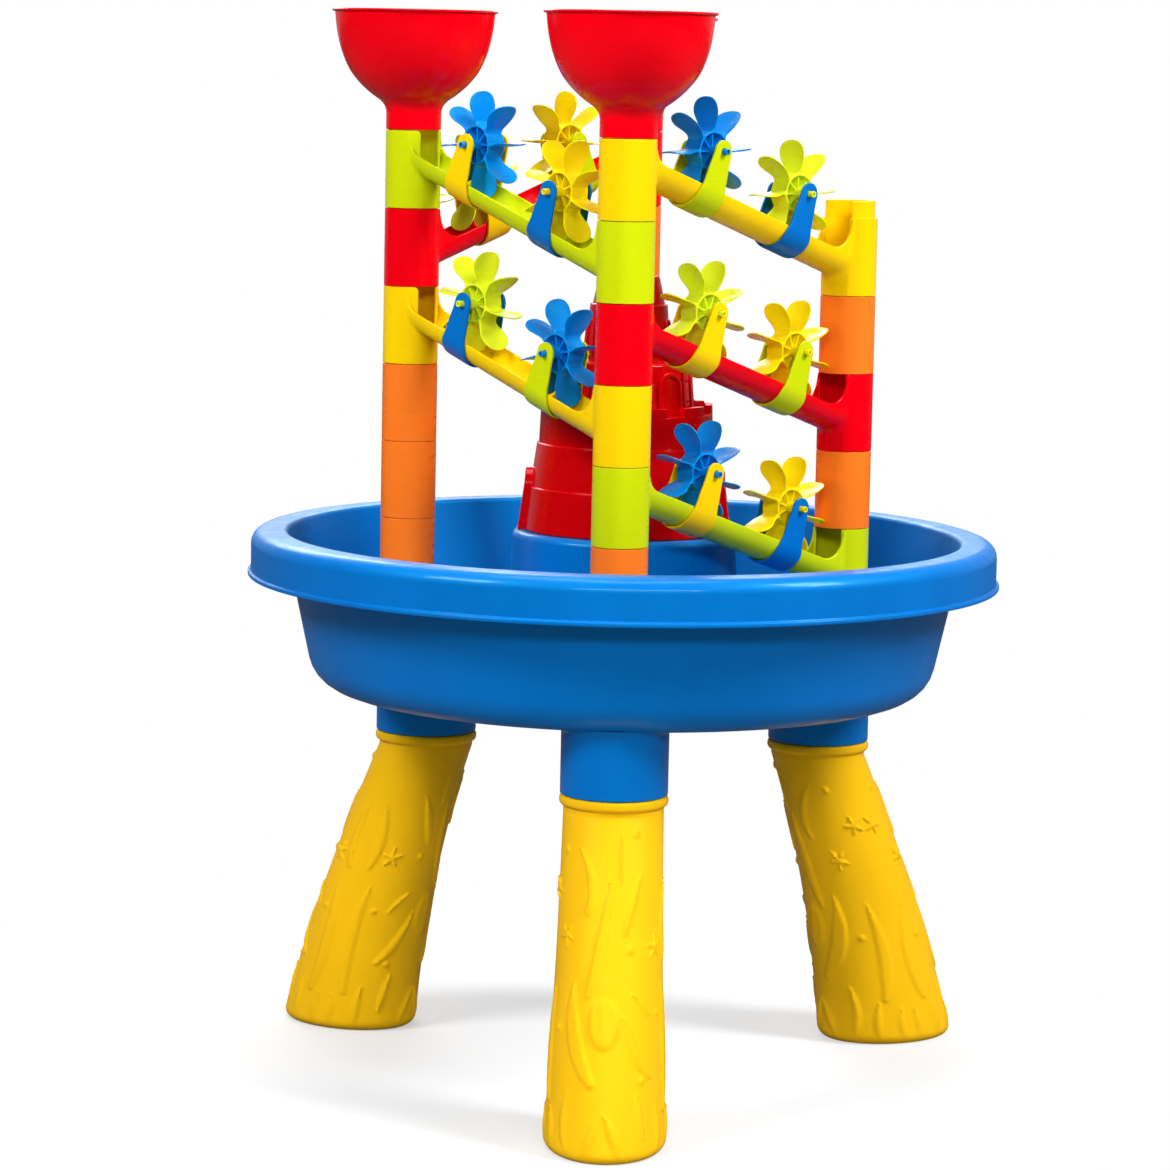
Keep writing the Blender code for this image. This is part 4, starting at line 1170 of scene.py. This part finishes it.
def wheel_body(scene):
    wheel, p = scene.sand_wheels, plan(scene)
    upright = Matrix.Rotation(-math.pi / 2, 4, "X")
    half, drum_in = wheel.drum_half_w, wheel.drum_r - wheel.drum_wall
    inner_edge, outer_edge, overlap = 0.0004, 0.0005, 0.0004
    drum = [
        (drum_in, -half, inner_edge),
        (wheel.drum_r, -half, outer_edge),
        (wheel.drum_r, half, outer_edge),
        (drum_in, half, inner_edge),
    ]
    bodies = [moved(turned(filleted(drum, 3), 72), upright)]
    web, web_r = wheel.web_t / 2, drum_in + overlap
    disc = [(0.0, web), (web_r, web), (web_r, -web), (0.0, -web)]
    bodies.append(moved(turned(disc, 48), upright))
    hub_end, pin_end = p.strap_in - wheel.play, p.strap_out + wheel.pin_out
    dimple_r, dimple_end = wheel.pin_r - 0.0011, pin_end - 0.005
    half_axle = [
        (dimple_r, dimple_end, 0.0),
        (dimple_r, pin_end, 0.0003),
        (wheel.pin_r, pin_end, 0.0006),
        (wheel.pin_r, hub_end, 0.0003),
        (wheel.hub_r, hub_end, 0.0006),
    ]
    mirrored = [(r, -z, f) for r, z, f in reversed(half_axle)]
    axle = [(0.0, dimple_end, 0.0)] + half_axle + mirrored + [(0.0, -dimple_end, 0.0)]
    bodies.append(moved(turned(filleted(axle, 3), 36), upright))
    rib_in = wheel.hub_r - 0.0008
    rib_run = web_r - rib_in
    rib_size = (rib_run, 2 * half - 0.0035, 0.0012)
    for k in range(wheel.paddles):
        spin = Matrix.Rotation(2 * math.pi * k / wheel.paddles, 4, "Y")
        bodies.append(moved(paddle_body(scene), spin))
        rib = bmesh.new()
        bmesh.ops.create_cube(rib, size=1.0)
        bmesh.ops.scale(rib, vec=rib_size, verts=rib.verts)
        broken_edges(rib, 0.0003)
        bodies.append(moved(rib, spin @ shifted(rib_in + rib_run / 2, 0.0, 0.0)))
    return gathered(bodies)


class OBJECT_OT_sand_wheels(bpy.types.Operator):
    """Model the paddle wheels with drum, hub, ribs and pins"""

    bl_idname = "object.sand_wheels"
    bl_label = "Paddle Wheels"

    def execute(self, context):
        scene = context.scene
        p = plan(scene)
        bm = wheel_body(scene)
        for (name, place), (finish, _, phase) in WHEEL_SETS.items():
            node = "wheel_%s_%s" % (name, place)
            turn = -p.tilt - 2 * math.pi / scene.sand_wheels.paddles * phase
            axle = strap_frame(scene, name, place) @ shifted(0.0, 0.0, p.axle_up)
            spot = axle @ Matrix.Rotation(turn, 4, "Y")
            # The paddles take the paler copy of their colour, which is painted light standing in for light
            # through the thin plastic.
            placed(node + "_paddles", bm, spot, "thin_" + finish, node, node)
        bm.free()
        return {"FINISHED"}


class OBJECT_OT_sand_funnels(bpy.types.Operator):
    """Turn the thin-lipped funnels"""

    bl_idname = "object.sand_funnels"
    bl_label = "Funnels"

    def execute(self, context):
        scene = context.scene
        funnel, tube, p = scene.sand_funnels, scene.sand_tubes, plan(scene)
        high = funnel.height - tube.gap
        flare = funnel.radius - tube.radius
        below = high - funnel.lip_h
        deep = funnel.bowl_h - funnel.lip_h
        curve = [(tube.radius + flare * r, below - deep * d) for d, r in smooth_chain(BOWL_SHAPE, 5)]
        neck_in = p.spigot_r + funnel.neck_play
        inside = []
        for before, point, after in zip(curve, curve[1:], curve[2:]):
            along = Vector((after[0] - before[0], after[1] - before[1])).normalized()
            radius = point[0] + funnel.wall * along.y
            inside.append((max(radius, neck_in), point[1] - funnel.wall * along.x))
        lip_in, edge = funnel.radius - funnel.wall, 0.0005
        lip = [
            (lip_in - funnel.bead, high - 0.0014),
            (lip_in - funnel.bead, high - 0.0006),
            (lip_in, high),
            (funnel.radius - 0.0006, high),
            (funnel.radius, high - edge),
            (funnel.radius, high - 0.0014),
            (funnel.radius - edge, high - 0.0014 - edge),
        ]
        foot = [
            (tube.radius, tube.seam_round),
            (tube.radius - 0.3 * tube.seam_round, 0.3 * tube.seam_round),
            (tube.radius - tube.seam_round, 0.0),
            (neck_in, 0.0),
        ]
        outline = lip + curve + foot + inside[::-1]
        bm = turned(outline, 112)
        for tower in FUNNEL_TOWERS:
            spot = polar(tube.tower_radius, TOWER_TURNS[tower]) + Vector((0.0, 0.0, p.tower_top + tube.gap))
            node = "funnel_" + tower
            placed(node + "_bowl", bm, Matrix.Translation(spot), "red", node, node)
        bm.free()
        return {"FINISHED"}


def arched_panel(shape, foot, wall_r):
    """An arched panel bent round the castle: a raised frame round a sunken field."""
    wide, tall, out, frame_w, recess = shape
    half, soft, sunk = wide / 2, 0.0008, 0.0015
    inmost, eased = 0.97 * half, 0.3 * soft
    sides, crown, sill = 8, 20, 6

    def outline(inset):
        span, low, high = half - inset, 0.35 * inset, tall - half
        rise = [low + (high - low) * k / sides for k in range(sides)]
        arch = [math.pi * k / crown for k in range(crown + 1)]
        return (
            [(-span, z) for z in rise]
            + [(-span * math.cos(a), high + span * math.sin(a)) for a in arch]
            + [(span, z) for z in reversed(rise)]
            + [(span * (1 - 2 * k / sill), low) for k in range(1, sill)]
        )

    rings = (
        (inmost, -sunk),
        (half / 2, -sunk),
        (0.0, -sunk),
        (0.0, out - soft),
        (eased, out - eased),
        (soft, out),
        (frame_w - soft, out),
        (frame_w - eased, out - eased),
        (frame_w, out - soft),
        (frame_w + eased, out - recess),
        ((frame_w + half) / 2, out - recess),
        (inmost, out - recess),
    )
    bm = bmesh.new()
    loops = []
    for inset, lift in rings:
        loop = []
        for y, z in outline(inset):
            radius, turn = wall_r(foot + z) + lift, y / wall_r(foot)
            loop.append(bm.verts.new((radius * math.cos(turn), radius * math.sin(turn), foot + z)))
        loops.append(loop)
    for low, high in zip(loops, loops[1:]):
        for k in range(len(low)):
            bm.faces.new((low[k - 1], low[k], high[k], high[k - 1]))
    bm.faces.new(loops[0])
    bm.faces.new(loops[-1])
    bmesh.ops.recalc_face_normals(bm, faces=bm.faces)
    return bm


class OBJECT_OT_sand_castle(bpy.types.Operator):
    """Turn the castle's tiers and set its merlons, doors and windows"""

    bl_idname = "object.sand_castle"
    bl_label = "Castle"

    def execute(self, context):
        scene = context.scene
        castle, tub, tube, p = scene.sand_castle, scene.sand_tub, scene.sand_tubes, plan(scene)
        foot_r = tub.plinth_r - tub.plinth_round - castle.edge
        wall, step = castle.wall, castle.step_w
        parapet = castle.tier_one_h + castle.parapet_h
        ring_in = castle.turret_ring_r - castle.turret_ring_w
        terrace, top = castle.tier_one_h, castle.tier_two_h
        edge, crease = 0.0008, 0.0012
        outer = [
            (0.0, castle.height, 0.0),
            (castle.turret_top_r, castle.height, 0.0025),
            (ring_in, castle.turret_ring_h, edge),
            (castle.turret_ring_r, castle.turret_ring_h, edge),
            (castle.turret_r, top, crease),
            (castle.tier_two_top_r, top, 0.0030),
            (castle.tier_two_r, terrace, crease),
            (castle.tier_one_r, terrace, 0.0010),
            (castle.step_high_r, castle.step_high_h, 0.0007),
            (castle.step_high_r + step, castle.step_high_h, edge),
            (castle.step_low_r, castle.step_low_h, 0.0007),
            (castle.step_low_r + step, castle.step_low_h, edge),
            (foot_r, 0.0, 0.0010),
            (foot_r - wall, 0.0, 0.0006),
            (castle.tier_one_r - wall, terrace - wall, edge),
            (castle.tier_two_r - wall, terrace - wall, edge),
            (castle.tier_two_top_r - wall, top - wall, 0.0010),
            (castle.turret_r - wall, top - wall, edge),
            (ring_in - wall, castle.turret_ring_h - wall, edge),
            (castle.turret_top_r - wall, castle.height - wall, 0.0015),
            (0.0, castle.height - wall, 0.0),
        ]
        bodies = [turned(filleted(outer, 4), 120)]

        def leaning(low_r, low, high_r, high):
            return lambda z: low_r + (high_r - low_r) * (z - low) / (high - low)

        tier_one = leaning(foot_r, 0.0, castle.tier_one_r, terrace)
        tier_two = leaning(castle.tier_two_r, terrace, castle.tier_two_top_r, top)
        turret = leaning(castle.turret_r, top, castle.turret_ring_r, castle.turret_ring_h)

        def around(body, degrees):
            bodies.append(moved(body, spun(math.radians(degrees))))

        wide = 2 * math.pi / castle.merlons - castle.crenel_w / castle.tier_one_r
        inner_r, foot = castle.tier_one_r - castle.parapet_t, terrace - 0.0006
        block = [
            (inner_r, foot),
            (castle.tier_one_r, foot),
            (castle.tier_one_r - 0.0002, parapet),
            (inner_r + 0.0004, parapet),
        ]
        for k in range(castle.merlons):
            merlon = broken_edges(turned(block, 10, wide), 0.0007, 3)
            around(merlon, 360.0 * k / castle.merlons - math.degrees(wide / 2))
        door = (castle.door_w, castle.door_h, castle.door_out, castle.door_frame, castle.door_sunk)
        for k in range(castle.doors):
            around(arched_panel(door, 0.0, tier_one), 360.0 * k / castle.doors)
        sunk, out = 0.001, castle.stone_out
        for k in range(PANELS_ROUND):
            turn = 360.0 * k / PANELS_ROUND
            around(arched_panel(WINDOW, terrace, tier_two), turn + WINDOW_TURN)
            for low, high in STONE_COURSES:
                stone = [
                    (tier_two(low) - sunk, low),
                    (tier_two(low) + out, low),
                    (tier_two(high) + out, high),
                    (tier_two(high) - sunk, high),
                ]
                around(broken_edges(turned(stone, 6, castle.stone_wide), 0.0005), turn + STONE_TURN)
            around(arched_panel(SLIT, top + castle.slit_up, turret), turn + SLIT_TURN)
        seat = shifted(0.0, 0.0, p.plinth_top + tube.gap)
        # The castle takes its deeper red, which is painted shade.
        placed("castle_mould", gathered(bodies), seat, "castle_red", "castle", "castle")
        return {"FINISHED"}


class OBJECT_OT_sand_stage(bpy.types.Operator):
    """Lay the pale floor and set the soft light and the camera"""

    bl_idname = "object.sand_stage"
    bl_label = "Stage"

    def execute(self, context):
        scene = context.scene
        stage = scene.sand_stage
        bm = bmesh.new()
        bmesh.ops.create_grid(bm, x_segments=2, y_segments=2, size=stage.floor)
        mesh = bpy.data.meshes.new("floor")
        bm.to_mesh(mesh)
        bm.free()
        floor = bpy.data.objects.new("floor", mesh)
        scene.collection.objects.link(floor)
        mesh.materials.append(self.paper(stage))
        self.sky(scene, stage)
        for name, (spot, height, size, power) in LAMPS.items():
            self.lamp(name, spot, (0.0, 0.0, height), size, power)
        self.camera(scene, stage)
        scene.view_settings.view_transform = "Standard"
        return {"FINISHED"}

    def paper(self, stage):
        """Pale paper that shows the shadows near the table and is plain white further out."""
        made = bpy.data.materials.new("studio_paper")
        made.use_nodes = True
        tree = made.node_tree
        path = fresh(tree, "LightPath", {})
        seen, gloss = path.outputs["Is Camera Ray"], path.outputs["Is Glossy Ray"]
        tone = ranged(tree, seen, (0.0, 1.0), (stage.paper_bounce, stage.paper_seen))
        held = fresh(tree, "Mix", {"Factor": gloss, "A": tone, "B": stage.paper_gloss})
        shader = tree.nodes["Principled BSDF"]
        feed(tree, shader, {"Base Color": held.outputs["Result"], "Roughness": 0.9})
        where = fresh(tree, "TexCoord", {}).outputs["Object"]
        away = fresh(tree, "VectorMath", {0: where, 1: SHADE_CENTRE}, operation="DISTANCE").outputs["Value"]
        span, levels = (stage.shade_in, stage.shade_out), (stage.shade_white, 1.0)
        fade = ranged(tree, away, span, levels, interpolation_type="SMOOTHSTEP")
        white = fresh(tree, "Math", {0: fade, 1: seen}, operation="MULTIPLY").outputs["Value"]
        glow = fresh(tree, "Emission", {}).outputs["Emission"]
        mix = fresh(tree, "MixShader", {"Fac": white, 1: shader.outputs["BSDF"], 2: glow})
        feed(tree, tree.nodes["Material Output"], {"Surface": mix.outputs["Shader"]})
        return made

    def sky(self, scene, stage):
        """White to the camera, an even fill for the light and a soft back light in reflections."""
        world = bpy.data.worlds.new("studio")
        scene.world = world
        world.use_nodes = True
        tree = world.node_tree
        path = fresh(tree, "LightPath", {})
        seen, gloss = path.outputs["Is Camera Ray"], path.outputs["Is Glossy Ray"]
        way = fresh(tree, "SeparateXYZ", {"Vector": fresh(tree, "TexCoord", {}).outputs["Generated"]})
        levels = (stage.sky_near, stage.sky_far)
        behind = ranged(tree, way.outputs["Y"], (0.2, 0.9), levels, interpolation_type="SMOOTHSTEP")
        bright = ranged(tree, seen, (0.0, 1.0), (stage.sky_fill, 1.0))
        level = fresh(tree, "Mix", {"Factor": gloss, "A": bright, "B": behind}).outputs["Result"]
        feed(tree, tree.nodes["Background"], {"Strength": level, "Color": (1.0, 1.0, 1.0, 1.0)})

    def lamp(self, name, spot, aim, size, power):
        data = bpy.data.lights.new(name, "AREA")
        data.shape = "RECTANGLE"
        data.size, data.size_y = size
        data.energy = power
        lamp = bpy.data.objects.new(name, data)
        lamp.location = spot
        lamp.rotation_euler = (Vector(aim) - Vector(spot)).to_track_quat("-Z", "Y").to_euler()
        bpy.context.scene.collection.objects.link(lamp)

    def camera(self, scene, stage):
        data = bpy.data.cameras.new("camera")
        data.lens = stage.lens
        data.sensor_fit = "HORIZONTAL"
        data.sensor_width = 36.0
        camera = bpy.data.objects.new("camera", data)
        camera.matrix_world = (
            Matrix.Translation((0.0, AXIS_Y, 0.0))
            @ Matrix.Rotation(stage.turn, 4, "Z")
            @ Matrix.Translation((stage.aside, -stage.distance, stage.eye))
            @ Matrix.Rotation(math.pi / 2 - stage.pitch, 4, "X")
            @ Matrix.Rotation(stage.roll, 4, "Z")
        )
        scene.collection.objects.link(camera)
        scene.camera = camera


class VIEW3D_PT_sand_table(bpy.types.Panel):
    """Buttons that model the table piece by piece"""

    bl_label = "Sand Table"
    bl_idname = "VIEW3D_PT_sand_table"
    bl_space_type = "VIEW_3D"
    bl_region_type = "UI"
    bl_category = "Sand Table"

    def draw(self, context):
        for maker in MAKERS:
            self.layout.operator(maker.bl_idname)


GROUPS = {
    "sand_tub": TubSizes,
    "sand_legs": LegSizes,
    "sand_tubes": TubeSizes,
    "sand_chutes": ChuteSizes,
    "sand_wheels": WheelSizes,
    "sand_funnels": FunnelSizes,
    "sand_castle": CastleSizes,
    "sand_finishes": Finishes,
    "sand_stage": StageSettings,
}
MAKERS = (
    OBJECT_OT_sand_stage,
    OBJECT_OT_sand_tub,
    OBJECT_OT_sand_legs,
    OBJECT_OT_sand_tubes,
    OBJECT_OT_sand_chutes,
    OBJECT_OT_sand_straps,
    OBJECT_OT_sand_wheels,
    OBJECT_OT_sand_funnels,
    OBJECT_OT_sand_castle,
)


def register():
    for name, group in GROUPS.items():
        bpy.utils.register_class(group)
        setattr(bpy.types.Scene, name, PointerProperty(type=group))
    for maker in MAKERS:
        bpy.utils.register_class(maker)
    bpy.utils.register_class(VIEW3D_PT_sand_table)


def unregister():
    bpy.utils.unregister_class(VIEW3D_PT_sand_table)
    for maker in reversed(MAKERS):
        bpy.utils.unregister_class(maker)
    for name, group in GROUPS.items():
        delattr(bpy.types.Scene, name)
        bpy.utils.unregister_class(group)


def main():
    register()
    bpy.ops.object.sand_stage()
    bpy.ops.object.sand_tub()
    bpy.ops.object.sand_legs()
    bpy.ops.object.sand_tubes()
    bpy.ops.object.sand_chutes()
    bpy.ops.object.sand_straps()
    bpy.ops.object.sand_wheels()
    bpy.ops.object.sand_funnels()
    bpy.ops.object.sand_castle()


if __name__ == "__main__":
    main()
